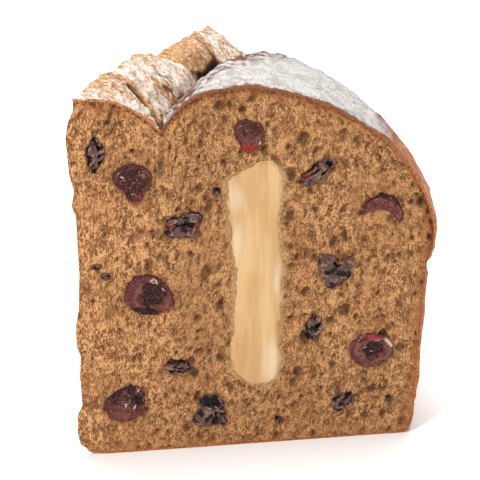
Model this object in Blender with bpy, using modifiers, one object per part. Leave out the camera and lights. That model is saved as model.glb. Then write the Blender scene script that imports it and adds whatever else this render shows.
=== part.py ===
"""A hand-cut wedge of a low round panettone, with its almond filling and its fruit.

Everything is modelled on the loaf's cutting lines: the wedge's thin edge stands on the
Z axis, the front cut runs along +X, and the back cut leaves the same edge BACK_CUT_ANGLE
further round. An empty then moves the wedge so that the origin is under its middle.
"""

import math

import bmesh
import bpy
import numpy as np
from mathutils import Matrix, Vector

# The whole loaf, turned about an axis that stands a little behind the wedge's thin edge.
LOAF_AXIS = (0.005, 0.018)
CROWN_HEIGHT = 0.120
RIM_RADIUS = 0.1042
RIM_HEIGHT = 0.068
RIM_ROLL = 0.0096
LIP_RADIUS = 0.1016
WALL_TOP_RADIUS = 0.1021
WALL_TOP_HEIGHT = 0.053
WALL_FOOT_RADIUS = 0.0993
FOOT_ROUND = 0.0035
DOME_POWERS = (3.2, 0.625)
DOME_RINGS = 42
TURN_STEPS = 100

# The wedge and the cuts that part it from the loaf.
BACK_CUT_ANGLE = math.radians(50)
KNIFE_SIZE = 0.4
CORNER_LOSS = (0.005, 0.006)

# The cross slashed in the top: a torn ridge along the back cut, with the crust rolled
# down on its near side. Each line gives distances along the back cut from the thin edge,
# then a size at each: the height of the ridge's crest; where the valley lies from the back
# cut; how far the ridge falls to it, and by what power; how far the flap sags beside it,
# and how far that sag reaches. All but the power are in millimetres.
CREST_LINE = (
    (0, 3, 14, 26, 32, 41, 45, 57, 71, 78, 84, 88, 92, 110),
    (111.5, 116.2, 117.4, 118.9, 119.2, 117.0, 117.9, 118.6, 119.0, 112.4, 109.4, 104.5, 92.0, 30.0),
)
VALLEY_LINE = ((0, 16, 25, 34, 55, 72), (23.0, 19.4, 16.2, 14.4, 14.6, 12.2))
RIDGE_FALLS = ((16, 32, 44, 56, 61), (13.8, 10.8, 9.8, 10.0, 8.4))
RIDGE_POWERS = ((38, 46, 56, 61), (2.0, 2.8, 2.8, 1.6))
FLAP_SAGS = ((16, 28, 44, 55, 68, 90, 102, 110), (15.8, 13.0, 11.2, 11.8, 10.0, 3.2, 1.0, 0.0))
SAG_REACHES = ((28, 40, 48), (9.6, 4.8, 3.1))
RIDGE_SIDE_SLOPE = 1.3
SEAM_BLEND = 0.0028
# Each tear across the ridge: where it starts, its slant, how deep it is, how fast it heals.
TEARS = (
    (0.0164, -0.03, 0.0034, 0.0025),
    (0.0400, 0.36, 0.0034, 0.0060),
    (0.0594, -0.08, 0.0036, 0.0025),
)

# The band of almond filling, a ring about the loaf's axis.
FILLING_RADIUS = 0.0513
FILLING_HALF_WIDTH = 0.0074
FILLING_BOTTOM = 0.0205
FILLING_TOP = 0.0915
FILLING_POINTS = 28
FILLING_SLANT = 0.38
FILLING_WAVE = 0.0007
FILLING_WAVE_LENGTH = 0.023

# Fruit stands this much proud of the cut it shows at, and every piece keeps this gap.
FRUIT_PROUD = 0.0008
GAP = 0.0003

# Fruit: along the cut, height, width, height of the piece, depth of its centre, lean.
FRONT_CRANBERRIES = (
    (0.0506, 0.1013, 0.0081, 0.0091, 0.0006, 0.10),
    (0.0170, 0.0887, 0.0101, 0.0111, 0.0010, 0.00),
    (0.0208, 0.0530, 0.0139, 0.0130, 0.0010, 0.15),
    (0.0887, 0.0299, 0.0136, 0.0114, 0.0010, 0.30),
    (0.0126, 0.0171, 0.0122, 0.0126, 0.0010, 0.00),
    (0.0908, 0.0768, 0.0130, 0.0082, 0.0006, 0.35),
)
FRONT_RAISINS = (
    (0.0067, 0.0978, 0.0049, 0.0102, 0.0004, 0.05),
    (0.0310, 0.0743, 0.0138, 0.0066, 0.0006, -0.40),
    (0.0710, 0.0892, 0.0110, 0.0060, 0.0006, -0.62),
    (0.0774, 0.0575, 0.0100, 0.0110, 0.0010, 0.20),
    (0.0704, 0.0387, 0.0044, 0.0085, 0.0004, 0.20),
    (0.0290, 0.0284, 0.0079, 0.0046, 0.0004, 0.10),
    (0.0390, 0.0121, 0.0100, 0.0115, 0.0010, 0.30),
    (0.0800, 0.0128, 0.0078, 0.0050, 0.0004, -0.70),
)
BACK_CRANBERRIES = (
    (0.0240, 0.0300, 0.0125, 0.0115, 0.0010, 0.20),
    (0.0330, 0.0790, 0.0105, 0.0120, 0.0008, -0.30),
    (0.0960, 0.0660, 0.0135, 0.0100, 0.0010, 0.50),
    (0.0870, 0.0220, 0.0115, 0.0120, 0.0010, 0.00),
    (0.0490, 0.1020, 0.0095, 0.0085, 0.0006, 0.10),
)
BACK_RAISINS = (
    (0.0140, 0.0600, 0.0060, 0.0100, 0.0004, 0.30),
    (0.0450, 0.0470, 0.0120, 0.0062, 0.0006, -0.40),
    (0.1040, 0.0370, 0.0066, 0.0105, 0.0006, 0.20),
    (0.0830, 0.0900, 0.0110, 0.0060, 0.0006, 0.60),
    (0.0490, 0.0140, 0.0095, 0.0055, 0.0006, -0.15),
    (0.0180, 0.0960, 0.0075, 0.0085, 0.0004, 0.00),
)

# The origin is under the middle of the wedge's box.
BOX_MIDDLE = (0.0546, 0.0459)


def fresh_scene():
    """Empties the scene and returns the object's collection, the cutters' one and the pockets' one."""
    for old in list(bpy.data.objects):
        bpy.data.objects.remove(old, do_unlink=True)
    made = []
    for name in ("panettone", "cutters", "pockets"):
        collection = bpy.data.collections.new(name)
        bpy.context.scene.collection.children.link(collection)
        made.append(collection)
    return made


def material(name, colour, roughness):
    """A Principled material of one colour."""
    made = bpy.data.materials.new(name)
    made.use_nodes = True
    shader = made.node_tree.nodes["Principled BSDF"]
    shader.inputs["Base Color"].default_value = (*colour, 1.0)
    shader.inputs["Roughness"].default_value = roughness
    shader.inputs["Metallic"].default_value = 0.0
    made.diffuse_color = (*colour, 1.0)
    return made


def add_object(name, mesh, collection, parent=None, finish=None):
    """Links an object made from a mesh, and gives it its material and its parent."""
    made = bpy.data.objects.new(name, mesh)
    collection.objects.link(made)
    made.parent = parent
    if finish:
        mesh.materials.append(finish)
        mesh.shade_smooth()
        mesh.set_sharp_from_angle(angle=math.radians(35))
    return made


def as_cutter(cutter):
    """Marks an object as a guide that only cuts others."""
    cutter.hide_render = True
    cutter.display_type = "WIRE"
    return cutter


def cut_with(target, name, cutter):
    """Takes a cutter, or every cutter in a collection, away from the target."""
    cut = target.modifiers.new(name, "BOOLEAN")
    cut.operation = "DIFFERENCE"
    cut.solver = "EXACT"
    if isinstance(cutter, bpy.types.Collection):
        cut.operand_type = "COLLECTION"
        cut.collection = cutter
    else:
        cut.object = cutter


def turned_mesh(name, outline, closed):
    """Turns an outline of (radius, height) points once round the Z axis with a Screw modifier."""
    points = [(radius, 0.0, height) for radius, height in outline]
    edges = [(i, i + 1) for i in range(len(points) - 1)]
    if closed:
        edges.append((len(points) - 1, 0))
    wire = bpy.data.meshes.new(name)
    wire.from_pydata(points, edges, [])
    turned = add_object(name, wire, bpy.context.scene.collection)
    screw = turned.modifiers.new("turn", "SCREW")
    screw.steps = TURN_STEPS
    screw.render_steps = TURN_STEPS
    screw.use_merge_vertices = True
    screw.merge_threshold = 0.00001
    graph = bpy.context.evaluated_depsgraph_get()
    mesh = bpy.data.meshes.new_from_object(turned.evaluated_get(graph))
    bpy.data.objects.remove(turned, do_unlink=True)
    mesh.transform(Matrix.Translation((*LOAF_AXIS, 0.0)))
    return mesh


def ease(start, end, value):
    """Rises smoothly from 0 at start to 1 at end."""
    share = np.clip((value - start) / (end - start), 0.0, 1.0)
    return share * share * (3.0 - 2.0 * share)


def dome_height(radius):
    """Height of the unslashed dome: a flattened arch from the rim up to the crown."""
    outer, inner = DOME_POWERS
    arch = 1.0 - np.minimum(radius / RIM_RADIUS, 1.0) ** outer
    return RIM_HEIGHT + (CROWN_HEIGHT - RIM_HEIGHT) * arch**inner


def station(line, along):
    """The size that one of the slash's lines gives at a distance along the back cut."""
    places, sizes = line
    return np.interp(along * 1000.0, places, sizes) / 1000.0


def slashed_height(x, y):
    """Height of the slashed top: the crust flap and the torn ridge, blended where they meet."""
    along = np.maximum(x * math.cos(BACK_CUT_ANGLE) + y * math.sin(BACK_CUT_ANGLE), 0.0)
    across = x * math.sin(BACK_CUT_ANGLE) - y * math.cos(BACK_CUT_ANGLE)
    dome = dome_height(np.hypot(x - LOAF_AXIS[0], y - LOAF_AXIS[1]))
    valley = station(VALLEY_LINE, along)
    past_valley = np.maximum(across - valley, 0.0)
    sag_left = np.exp(-past_valley / station(SAG_REACHES, along))
    flap = dome - station(FLAP_SAGS, along) * sag_left
    share = np.clip(across / valley, 0.0, 1.15)
    power = station(RIDGE_POWERS, along) * 1000.0
    ridge = station(CREST_LINE, along) - station(RIDGE_FALLS, along) * share**power
    ridge = ridge - RIDGE_SIDE_SLOPE * past_valley
    for start, slant, depth, healing in TEARS:
        beyond = along - start - slant * across
        torn = np.exp(-np.maximum(beyond, 0.0) / healing) * ease(0.0, 0.0008, beyond)
        ridge = ridge - depth * (0.35 + 0.65 * share) * torn
    higher = np.maximum(flap, ridge)
    lower = np.minimum(flap, ridge)
    return higher + SEAM_BLEND * np.log1p(np.exp((lower - higher) / SEAM_BLEND))


def loaf_outline():
    """The loaf's outer side from crown to base: dome, rim rolled under, wall and rounded foot."""
    turns = np.linspace(0.0, math.pi / 2, DOME_RINGS)
    radius = RIM_RADIUS * np.sin(turns)
    dome = np.column_stack([radius, dome_height(radius)])
    turns = np.linspace(0.0, math.pi / 2, 7)[1:]
    under = np.column_stack([
        LIP_RADIUS + (RIM_RADIUS - LIP_RADIUS) * np.cos(turns),
        RIM_HEIGHT - RIM_ROLL * np.sin(turns),
    ])
    heights = np.linspace(WALL_TOP_HEIGHT, FOOT_ROUND, 9)
    share = heights / WALL_TOP_HEIGHT
    wall = np.column_stack([
        WALL_FOOT_RADIUS + (WALL_TOP_RADIUS - WALL_FOOT_RADIUS) * share,
        heights,
    ])
    turns = np.linspace(0.0, math.pi / 2, 5)[1:]
    foot = np.column_stack([
        wall[-1, 0] - FOOT_ROUND * (1.0 - np.cos(turns)),
        FOOT_ROUND * (1.0 - np.sin(turns)),
    ])
    base = np.array([[0.0, 0.0]])
    return np.vstack([dome, under, wall, foot, base])


def loaf_mesh():
    """The whole loaf, with the slashed top moved into its dome."""
    mesh = turned_mesh("bread", loaf_outline(), closed=False)
    points = np.empty(len(mesh.vertices) * 3, np.float32)
    mesh.vertices.foreach_get("co", points)
    points = points.reshape(-1, 3)
    on_dome = points[:, 2] > RIM_HEIGHT + 0.0001
    points[on_dome, 2] = slashed_height(points[on_dome, 0], points[on_dome, 1])
    mesh.vertices.foreach_set("co", points.ravel())
    mesh.update()
    return mesh


def filling_mesh(name, swell):
    """A ring of the filling's outline, a rounded strip with a slanted top and wavy sides."""
    turns = np.linspace(0.0, 2.0 * math.pi, FILLING_POINTS, endpoint=False)
    wide = np.sign(np.cos(turns)) * np.abs(np.cos(turns)) ** 0.45
    tall = -np.sign(np.sin(turns)) * np.abs(np.sin(turns)) ** 0.8
    middle = (FILLING_TOP + FILLING_BOTTOM) / 2
    radius = FILLING_RADIUS + (FILLING_HALF_WIDTH + swell) * wide
    height = middle + ((FILLING_TOP - FILLING_BOTTOM) / 2 + swell) * tall
    height = height + FILLING_SLANT * FILLING_HALF_WIDTH * wide * np.maximum(tall, 0.0)
    wave = np.sin(2.0 * math.pi * height / FILLING_WAVE_LENGTH + wide)
    radius = radius + FILLING_WAVE * wave
    return turned_mesh(name, np.column_stack([radius, height]), closed=True)


def fruit_mesh(name, width, height, seed):
    """A lumpy round fruit: a sphere stretched to its size, with three low folds round it."""
    shape = bmesh.new()
    bmesh.ops.create_uvsphere(shape, u_segments=9, v_segments=6, radius=0.5)
    phase = 2.4 * seed
    deep = 0.5 * (width + height)
    for vertex in shape.verts:
        x, y, z = vertex.co * 2.0
        fold = 0.05 * math.sin(3.0 * x + phase) + 0.05 * math.sin(3.5 * z + 1.7 * phase)
        fold = fold + 0.04 * math.sin(4.0 * y - phase)
        vertex.co *= 0.96 + fold
        vertex.co = Vector((vertex.co.x * width, vertex.co.y * deep, vertex.co.z * height))
    mesh = bpy.data.meshes.new(name)
    shape.to_mesh(mesh)
    shape.free()
    return mesh


def knife(name, back, cutters, parent, away=0.0):
    """A block whose one side is the plane of the front or the back cut, moved out by away."""
    bpy.ops.mesh.primitive_cube_add(size=KNIFE_SIZE)
    made = as_cutter(bpy.context.object)
    made.name = name
    for collection in list(made.users_collection):
        collection.objects.unlink(made)
    cutters.objects.link(made)
    made.parent = parent
    out = KNIFE_SIZE / 2 + away
    if back:
        made.rotation_euler = (0.0, 0.0, BACK_CUT_ANGLE)
        made.location = (-out * math.sin(BACK_CUT_ANGLE), out * math.cos(BACK_CUT_ANGLE), 0.0)
    else:
        made.location = (0.0, -out, 0.0)
    return made


def corner_cutter(cutters, parent):
    """A block laid across the thin edge's foot, which takes off its worn corner."""
    along, up = CORNER_LOSS
    slope = math.atan2(up, along)
    bpy.ops.mesh.primitive_cube_add(size=KNIFE_SIZE)
    made = as_cutter(bpy.context.object)
    made.name = "worn_corner"
    for collection in list(made.users_collection):
        collection.objects.unlink(made)
    cutters.objects.link(made)
    made.parent = parent
    made.rotation_euler = (0.0, slope, 0.0)
    out = KNIFE_SIZE / 2
    made.location = (
        along / 2 - out * math.sin(slope),
        0.0,
        up / 2 - out * math.cos(slope),
    )
    return made


def place_on_cut(piece, back, along, height, sink, lean):
    """Puts a fruit where its centre lies sink deep behind the front or the back cut."""
    if back:
        piece.location = (
            along * math.cos(BACK_CUT_ANGLE) + sink * math.sin(BACK_CUT_ANGLE),
            along * math.sin(BACK_CUT_ANGLE) - sink * math.cos(BACK_CUT_ANGLE),
            height,
        )
        piece.rotation_euler = (0.0, lean, BACK_CUT_ANGLE)
    else:
        piece.location = (along, sink, height)
        piece.rotation_euler = (0.0, lean, 0.0)


def build():
    """Makes the wedge: bread, filling and fruit, each in its own pocket."""
    parts, cutters, pockets = fresh_scene()
    frame = bpy.data.objects.new("wedge_frame", None)
    parts.objects.link(frame)
    frame.location = (-BOX_MIDDLE[0], -BOX_MIDDLE[1], 0.0)

    crumb = material("golden_crumb", (0.42, 0.195, 0.083), 0.85)
    almond = material("almond_filling", (0.78, 0.50, 0.243), 0.45)
    red_fruit = material("cranberry_skin", (0.12, 0.030, 0.025), 0.35)
    dark_fruit = material("raisin_skin", (0.045, 0.022, 0.017), 0.40)

    front = knife("front_cut", False, cutters, frame)
    back = knife("back_cut", True, cutters, frame)
    front_trim = knife("front_trim", False, cutters, frame, FRUIT_PROUD)
    back_trim = knife("back_trim", True, cutters, frame, FRUIT_PROUD)
    corner = corner_cutter(cutters, frame)

    bread = add_object("bread", loaf_mesh(), parts, frame, crumb)
    cut_with(bread, "front cut", front)
    cut_with(bread, "back cut", back)
    cut_with(bread, "worn corner", corner)

    filling = add_object("filling", filling_mesh("filling", 0.0), parts, frame, almond)
    cut_with(filling, "front cut", front)
    cut_with(filling, "back cut", back)
    as_cutter(add_object("filling_pocket", filling_mesh("filling_pocket", GAP), pockets, frame))

    kinds = (
        ("cranberry", red_fruit, FRONT_CRANBERRIES, BACK_CRANBERRIES),
        ("raisin", dark_fruit, FRONT_RAISINS, BACK_RAISINS),
    )
    for kind, finish, on_front, on_back in kinds:
        places = [(False, fruit) for fruit in on_front] + [(True, fruit) for fruit in on_back]
        for number, (is_back, fruit) in enumerate(places, start=1):
            along, height, width, tall, sink, lean = fruit
            name = f"{kind}_{number}"
            piece = add_object(name, fruit_mesh(name, width, tall, number), parts, frame, finish)
            cut_with(piece, "trim", back_trim if is_back else front_trim)
            roomier = fruit_mesh(f"{name}_pocket", width + 2 * GAP, tall + 2 * GAP, number)
            pocket = as_cutter(add_object(f"{name}_pocket", roomier, pockets, frame))
            for item in (piece, pocket):
                place_on_cut(item, is_back, along, height, sink, lean)
    cut_with(bread, "pockets", pockets)


build()
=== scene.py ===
import itertools
import math

import bmesh
import bpy
import numpy as np
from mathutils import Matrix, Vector


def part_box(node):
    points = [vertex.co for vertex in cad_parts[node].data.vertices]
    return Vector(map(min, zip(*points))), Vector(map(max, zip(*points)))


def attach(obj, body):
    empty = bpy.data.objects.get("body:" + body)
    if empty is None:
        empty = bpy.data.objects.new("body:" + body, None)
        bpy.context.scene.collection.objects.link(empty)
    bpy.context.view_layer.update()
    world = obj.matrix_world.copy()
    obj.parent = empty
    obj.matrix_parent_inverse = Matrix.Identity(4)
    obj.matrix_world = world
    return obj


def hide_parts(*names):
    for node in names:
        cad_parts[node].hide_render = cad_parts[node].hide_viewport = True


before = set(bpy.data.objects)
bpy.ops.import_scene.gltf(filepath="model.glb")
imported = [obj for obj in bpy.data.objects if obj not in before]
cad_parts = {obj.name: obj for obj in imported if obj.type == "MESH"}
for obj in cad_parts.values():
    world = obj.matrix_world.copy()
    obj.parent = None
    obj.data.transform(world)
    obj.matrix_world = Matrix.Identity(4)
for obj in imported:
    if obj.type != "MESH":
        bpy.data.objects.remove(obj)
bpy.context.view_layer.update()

MM = 0.001

# ---------------------------------------------------------------------------------
# The table and the studio light.
# A pale matt table top under a broad soft light from the upper left, a weaker one
# from the right, and pale walls all round.
# ---------------------------------------------------------------------------------
TABLE_REACH = 3.0
TABLE_COLOUR = (0.93, 0.93, 0.925)
TABLE_ROUGHNESS = 0.9
SKY_COLOUR = (1.0, 0.99, 0.98)
SKY_STRENGTH = 0.42
EYE_AZIMUTH = math.radians(-8.1)
EYE_HEIGHT = math.radians(23.0)
EYE_DISTANCE = 0.4713
EYE_LENS = 120.0
EYE_SENSOR = 36.0
EYE_AIM = np.array([48.0, 0.0, 69.05]) * MM
# Each lamp's place, size, power and colour.
LAMPS = (
    ("window_light", (-0.70, -0.60, 0.80), 0.34, 9.5, (1.0, 0.985, 0.96)),
    ("fill_light", (0.75, -0.75, 0.40), 0.60, 2.2, (0.98, 0.99, 1.0)),
    ("top_light", (0.05, 0.25, 1.05), 0.80, 13.0, (1.0, 1.0, 1.0)),
)

bread_low, bread_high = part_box("bread")
THIN_EDGE = np.array([bread_low.x, bread_low.y, 0.0])


def matt_material(name, colour, roughness, shine=0.5):
    """A Principled material of one starting colour: returns it, its node tree and its shader."""
    made = bpy.data.materials.new(name)
    made.use_nodes = True
    shader = made.node_tree.nodes["Principled BSDF"]
    shader.inputs["Base Color"].default_value = (*colour, 1.0)
    shader.inputs["Roughness"].default_value = roughness
    shader.inputs["Specular IOR Level"].default_value = shine
    return made, made.node_tree, shader


def set_table():
    """Lays the flat table top and hangs the lamps, each turned toward the middle of the wedge."""
    edge = TABLE_REACH
    mesh = bpy.data.meshes.new("table_top")
    mesh.from_pydata(
        [(-edge, -edge, 0), (edge, -edge, 0), (edge, edge, 0), (-edge, edge, 0)], [], [(0, 1, 2, 3)]
    )
    mesh.materials.append(matt_material("table_paint", TABLE_COLOUR, TABLE_ROUGHNESS)[0])
    table = bpy.data.objects.new("table_top", mesh)
    bpy.context.scene.collection.objects.link(table)
    world = bpy.data.worlds.new("pale_room")
    world.use_nodes = True
    sky = world.node_tree.nodes["Background"]
    sky.inputs["Color"].default_value = (*SKY_COLOUR, 1.0)
    sky.inputs["Strength"].default_value = SKY_STRENGTH
    bpy.context.scene.world = world
    middle = Vector((0.0, 0.0, bread_high.z / 2))
    for name, place, size, power, colour in LAMPS:
        lamp = bpy.data.lights.new(name, "AREA")
        lamp.shape = "DISK"
        lamp.size = size
        lamp.energy = power
        lamp.color = colour
        hung = bpy.data.objects.new(name, lamp)
        hung.location = place
        hung.rotation_euler = (Vector(place) - middle).to_track_quat("Z", "Y").to_euler()
        bpy.context.scene.collection.objects.link(hung)


def set_camera():
    """Stands the camera a little left of the cut face's middle, looking down on it."""
    back = Vector((
        math.sin(EYE_AZIMUTH) * math.cos(EYE_HEIGHT),
        -math.cos(EYE_AZIMUTH) * math.cos(EYE_HEIGHT),
        math.sin(EYE_HEIGHT),
    ))
    lens = bpy.data.cameras.new("camera")
    lens.lens = EYE_LENS
    lens.sensor_width = EYE_SENSOR
    lens.clip_start = 0.01
    camera = bpy.data.objects.new("camera", lens)
    camera.location = Vector(THIN_EDGE + EYE_AIM) + back * EYE_DISTANCE
    camera.rotation_euler = back.to_track_quat("Z", "Y").to_euler()
    bpy.context.scene.collection.objects.link(camera)
    bpy.context.scene.camera = camera


set_table()
set_camera()
bpy.context.scene.view_settings.view_transform = "Standard"

# ---------------------------------------------------------------------------------
# The crumb: the inside of the loaf, an open golden-brown sponge of thin cell walls.
# It fills the crust and shows at the two knife cuts, which meet at the thin edge.
# Round the band of filling it is cut away, and each fruit sits in its own hollow.
# ---------------------------------------------------------------------------------
WEDGE_ANGLE = math.radians(50)
LOAF_AXIS = (5.0 * MM, 18.0 * MM)
CROWN_HEIGHT = 120.0 * MM
RIM_RADIUS = 104.2 * MM
RIM_HEIGHT = 68.0 * MM
RIM_ROLL = 9.6 * MM
LIP_RADIUS = 101.6 * MM
WALL_TOP = (102.1 * MM, 53.0 * MM)
WALL_FOOT_RADIUS = 99.3 * MM
FOOT_ROUND = 3.5 * MM
DOME_POWERS = (3.2, 0.625)
SHOULDER_RADIUS = 95.0 * MM

# The slash, measured along the back cut from the thin edge. At each station: the height of
# the ridge's crest; where the valley lies from the back cut; how far the ridge falls to
# it; how far the flap sags beside it; and how far that sag reaches.
CREST_LINE = (
    (0, 3, 8, 14, 20, 26, 32, 38, 41, 45, 57, 61, 71, 73.5, 78, 84, 88, 92, 110),
    (
        114.6, 114.9, 116.2, 117.4, 117.7, 118.9, 119.6, 117.8, 117.0, 117.9,
        118.6, 119.0, 119.2, 117.0, 112.4, 109.4, 104.5, 92.0, 30.0,
    ),
)
VALLEY_LINE = ((0.0, 16.0, 25.0, 34.0, 44.0, 55.0, 72.0), (23.0, 19.4, 16.2, 14.4, 14.6, 14.6, 12.2))
RIDGE_FALLS = ((16.0, 32.0, 44.0, 56.0, 61.0), (13.8, 10.8, 9.8, 10.0, 8.4))
FLAP_SAGS = (
    (16.0, 28.0, 44.0, 55.0, 68.0, 90.0, 102.0, 110.0),
    (15.8, 13.0, 11.2, 11.8, 10.0, 3.2, 1.0, 0.0),
)
SAG_REACHES = ((28.0, 40.0, 48.0), (9.6, 4.8, 3.1))
RIDGE_POWERS = ((38.0, 46.0, 56.0, 61.0), (2.0, 3.2, 3.4, 1.5))
RIDGE_SIDE_SLOPE = 2.0
SEAM_BLEND = 0.8 * MM
# Each tear across the ridge: where it starts, its slant, how deep it is, how fast it heals.
TEARS = (
    (16.4 * MM, -0.03, 3.8 * MM, 1.2 * MM),
    (40.0 * MM, 0.36, 3.4 * MM, 6.0 * MM),
    (59.4 * MM, -0.08, 4.0 * MM, 1.2 * MM),
)
# The cave between the ridge and the flap: along, across, its half sizes and its depth.
CAVE = (53.0 * MM, 12.6 * MM, 6.0 * MM, 3.6 * MM, 5.0 * MM)

CRUMB_GOLD = (0.81, 0.420, 0.172)
CRUMB_BROWN = (0.27, 0.110, 0.042)
CRUMB_WARM = (0.42, 0.170, 0.055)
# Dark of the pores and pits, which is painted shade, and of the baked specks near the crust.
CRUMB_PORE_SHADE_AND_SPECK = (0.080, 0.030, 0.014)
CRUMB_BAKED = (0.51, 0.205, 0.066)
CRUST_CUT = (0.46, 0.158, 0.046)
CRUST_EDGE = (0.27, 0.095, 0.038)
# Dark of the stain round shreds and at burnt pits, and of the painted shade round fruit and in cracks.
CRUMB_STAIN_AND_SHADE = (0.13, 0.045, 0.022)
CRUMB_CREAM = (0.60, 0.365, 0.160)
CRUMB_UP = 236
CRUMB_ACROSS = 195
# The cut face's size, in mm, and the places between the cuts of the crumb's hidden skin.
FACE_LENGTH = 106.0
FACE_HEIGHT = 112.0
HIDDEN_TURNS = WEDGE_ANGLE * np.array([[0.0], [0.03], [0.2], [0.4], [0.6], [0.8], [0.97], [1.0]])


def ease(start, end, value):
    """Rises smoothly from 0 at start to 1 at end: 3 t squared less 2 t cubed of the share between."""
    share = np.clip((value - start) / (end - start), 0.0, 1.0)
    return share * share * (3.0 - 2.0 * share)


def fall(start, end, value):
    """Falls smoothly from 1 at start to 0 at end."""
    return 1.0 - ease(start, end, value)


def ramp(start, end, distance):
    """The smooth rise, with its start and end in mm."""
    return ease(start * MM, end * MM, distance)


def drop(start, end, distance):
    """The smooth fall, with its start and end in mm."""
    return 1.0 - ramp(start, end, distance)


def dice(cells, seed):
    """A fixed random number from 0 to 1 for each whole-number cell, mixed from its three places."""
    mix = cells[..., 0].astype(np.uint32) * np.uint32(374761393)
    mix = mix ^ (cells[..., 1].astype(np.uint32) * np.uint32(668265263))
    mix = mix ^ (cells[..., 2].astype(np.uint32) * np.uint32(2246822519))
    mix = (mix + np.uint32(seed * 2654435 + 97)) * np.uint32(3266489917)
    mix = (mix ^ (mix >> np.uint32(15))) * np.uint32(1274126177)
    mix = mix ^ (mix >> np.uint32(13))
    return mix.astype(np.float64) / 2.0**32


def drift(points, size, seed):
    """Soft noise from -1 to 1: random values on a lattice of that size, eased between its corners."""
    spots = points / size
    base = np.floor(spots)
    share = spots - base
    share = share * share * (3.0 - 2.0 * share)
    base = base.astype(np.int64)
    total = np.zeros(points.shape[:-1])
    for corner in itertools.product((0, 1), repeat=3):
        side = np.array(corner)
        weight = np.prod(np.where(side == 1, share, 1.0 - share), axis=-1)
        total = total + weight * dice(base + side, seed)
    return 2.0 * total - 1.0


def layers(points, *noises):
    """A sum of soft noises: each layer's height and width in mm, and its seed."""
    return sum(high * MM * drift(points, wide * MM, seed) for high, wide, seed in noises)


def bubbles(points, size, share, seed):
    """Depth of round bubbles: one in each cell of a lattice, where the dice open it.

    Inside a bubble of radius r, at distance d from its middle, the depth is the square
    root of r squared less d squared. Where bubbles meet, the deeper one counts.
    """
    spots = points / size
    base = np.floor(spots).astype(np.int64)
    depth = np.zeros(points.shape[:-1])
    for offset in itertools.product((-1, 0, 1), repeat=3):
        cell = base + np.array(offset)
        middle = cell + np.stack([dice(cell, seed + k) for k in (1, 2, 3)], axis=-1)
        radius = 0.22 + 0.38 * dice(cell, seed + 4)
        gap = np.sum((spots - middle) ** 2, axis=-1)
        inside = np.sqrt(np.maximum(radius**2 - gap, 0.0))
        depth = np.maximum(depth, np.where(dice(cell, seed + 5) < share, inside, 0.0))
    return depth * size


def dome_height(radius):
    """Height of the unslashed dome: a flattened arch from the rim up to the crown."""
    outer, inner = DOME_POWERS
    arch = 1.0 - np.minimum(radius / RIM_RADIUS, 1.0) ** outer
    return RIM_HEIGHT + (CROWN_HEIGHT - RIM_HEIGHT) * arch**inner


def along_and_across(x, y):
    """Distance along the back cut from the thin edge, and distance from the back cut."""
    along = x * math.cos(WEDGE_ANGLE) + y * math.sin(WEDGE_ANGLE)
    return along, x * math.sin(WEDGE_ANGLE) - y * math.cos(WEDGE_ANGLE)


def station(line, along):
    """The value of one of the slash's lines at a distance along it, in metres."""
    return np.interp(along / MM, *line) * MM


def torn_edge(x, y):
    """Soft noise that makes the tears and the valley ragged."""
    flat = np.stack([x, y, np.zeros_like(x)], axis=-1)
    return layers(flat, (0.9, 4.2, 61), (0.35, 1.6, 62))


def past_tear(tear, along, across, ragged):
    """How far beyond a tear's slanting, ragged line a point lies."""
    return along - tear[0] - tear[1] * across + 0.6 * ragged


def slash(x, y):
    """Height of the slashed top, and how far each point belongs to the torn ridge, 0 to 1.

    The flap is the dome less a sag that fades away from the valley by an exponential. The
    ridge falls from its crest to the valley by a power of the share of the way, and each
    tear across it drops at once and heals by an exponential. A smooth maximum blends the
    two where they meet.
    """
    ragged = torn_edge(x, y)
    along, across = along_and_across(x, y)
    along = np.maximum(along, 0.0)
    dome = dome_height(np.hypot(x - LOAF_AXIS[0], y - LOAF_AXIS[1]))
    valley = station(VALLEY_LINE, along) + ragged * ease(0.0, 6.0 * MM, y)
    past_valley = np.maximum(across - valley, 0.0)
    flap = dome - station(FLAP_SAGS, along) * np.exp(-past_valley / station(SAG_REACHES, along))
    share = np.clip(across / valley, 0.0, 1.15)
    power = station(RIDGE_POWERS, along) / MM
    ridge = station(CREST_LINE, along) - station(RIDGE_FALLS, along) * share**power
    ridge = ridge - RIDGE_SIDE_SLOPE * past_valley
    for tear in TEARS:
        beyond = past_tear(tear, along, across, ragged)
        fresh = np.exp(-np.maximum(beyond, 0.0) / tear[3]) * ease(0.0, 0.8 * MM, beyond)
        ridge = ridge - tear[2] * (0.35 + 0.65 * share) * fresh
    higher = np.maximum(flap, ridge)
    lower = np.minimum(flap, ridge)
    height = higher + SEAM_BLEND * np.log1p(np.exp((lower - higher) / SEAM_BLEND))
    middle, side, long, wide, depth = CAVE
    cave = np.exp(-(((along - middle) / long) ** 2) - ((across - side) / wide) ** 2)
    torn = 1.0 / (1.0 + np.exp(np.clip((flap - ridge) / SEAM_BLEND, -30.0, 30.0)))
    return height - depth * cave, torn


def side_outline():
    """Radius and height down the loaf's side: shoulder, rim rolled under, wall, rounded foot."""
    start = math.asin(SHOULDER_RADIUS / RIM_RADIUS)
    turns = np.linspace(start, math.pi / 2, 60)
    radius = RIM_RADIUS * np.sin(turns)
    dome = np.column_stack([radius, dome_height(radius)])
    turns = np.linspace(0.0, math.pi / 2, 30)[1:]
    under = np.column_stack([
        LIP_RADIUS + (RIM_RADIUS - LIP_RADIUS) * np.cos(turns),
        RIM_HEIGHT - RIM_ROLL * np.sin(turns),
    ])
    heights = np.linspace(WALL_TOP[1], FOOT_ROUND, 40)
    wall = np.column_stack([
        WALL_FOOT_RADIUS + (WALL_TOP[0] - WALL_FOOT_RADIUS) * heights / WALL_TOP[1],
        heights,
    ])
    turns = np.linspace(0.0, math.pi / 2, 16)[1:]
    foot = np.column_stack([
        wall[-1, 0] - FOOT_ROUND * (1.0 - np.cos(turns)),
        FOOT_ROUND * (1.0 - np.sin(turns)),
    ])
    return np.vstack([dome, under, wall, foot])


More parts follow.
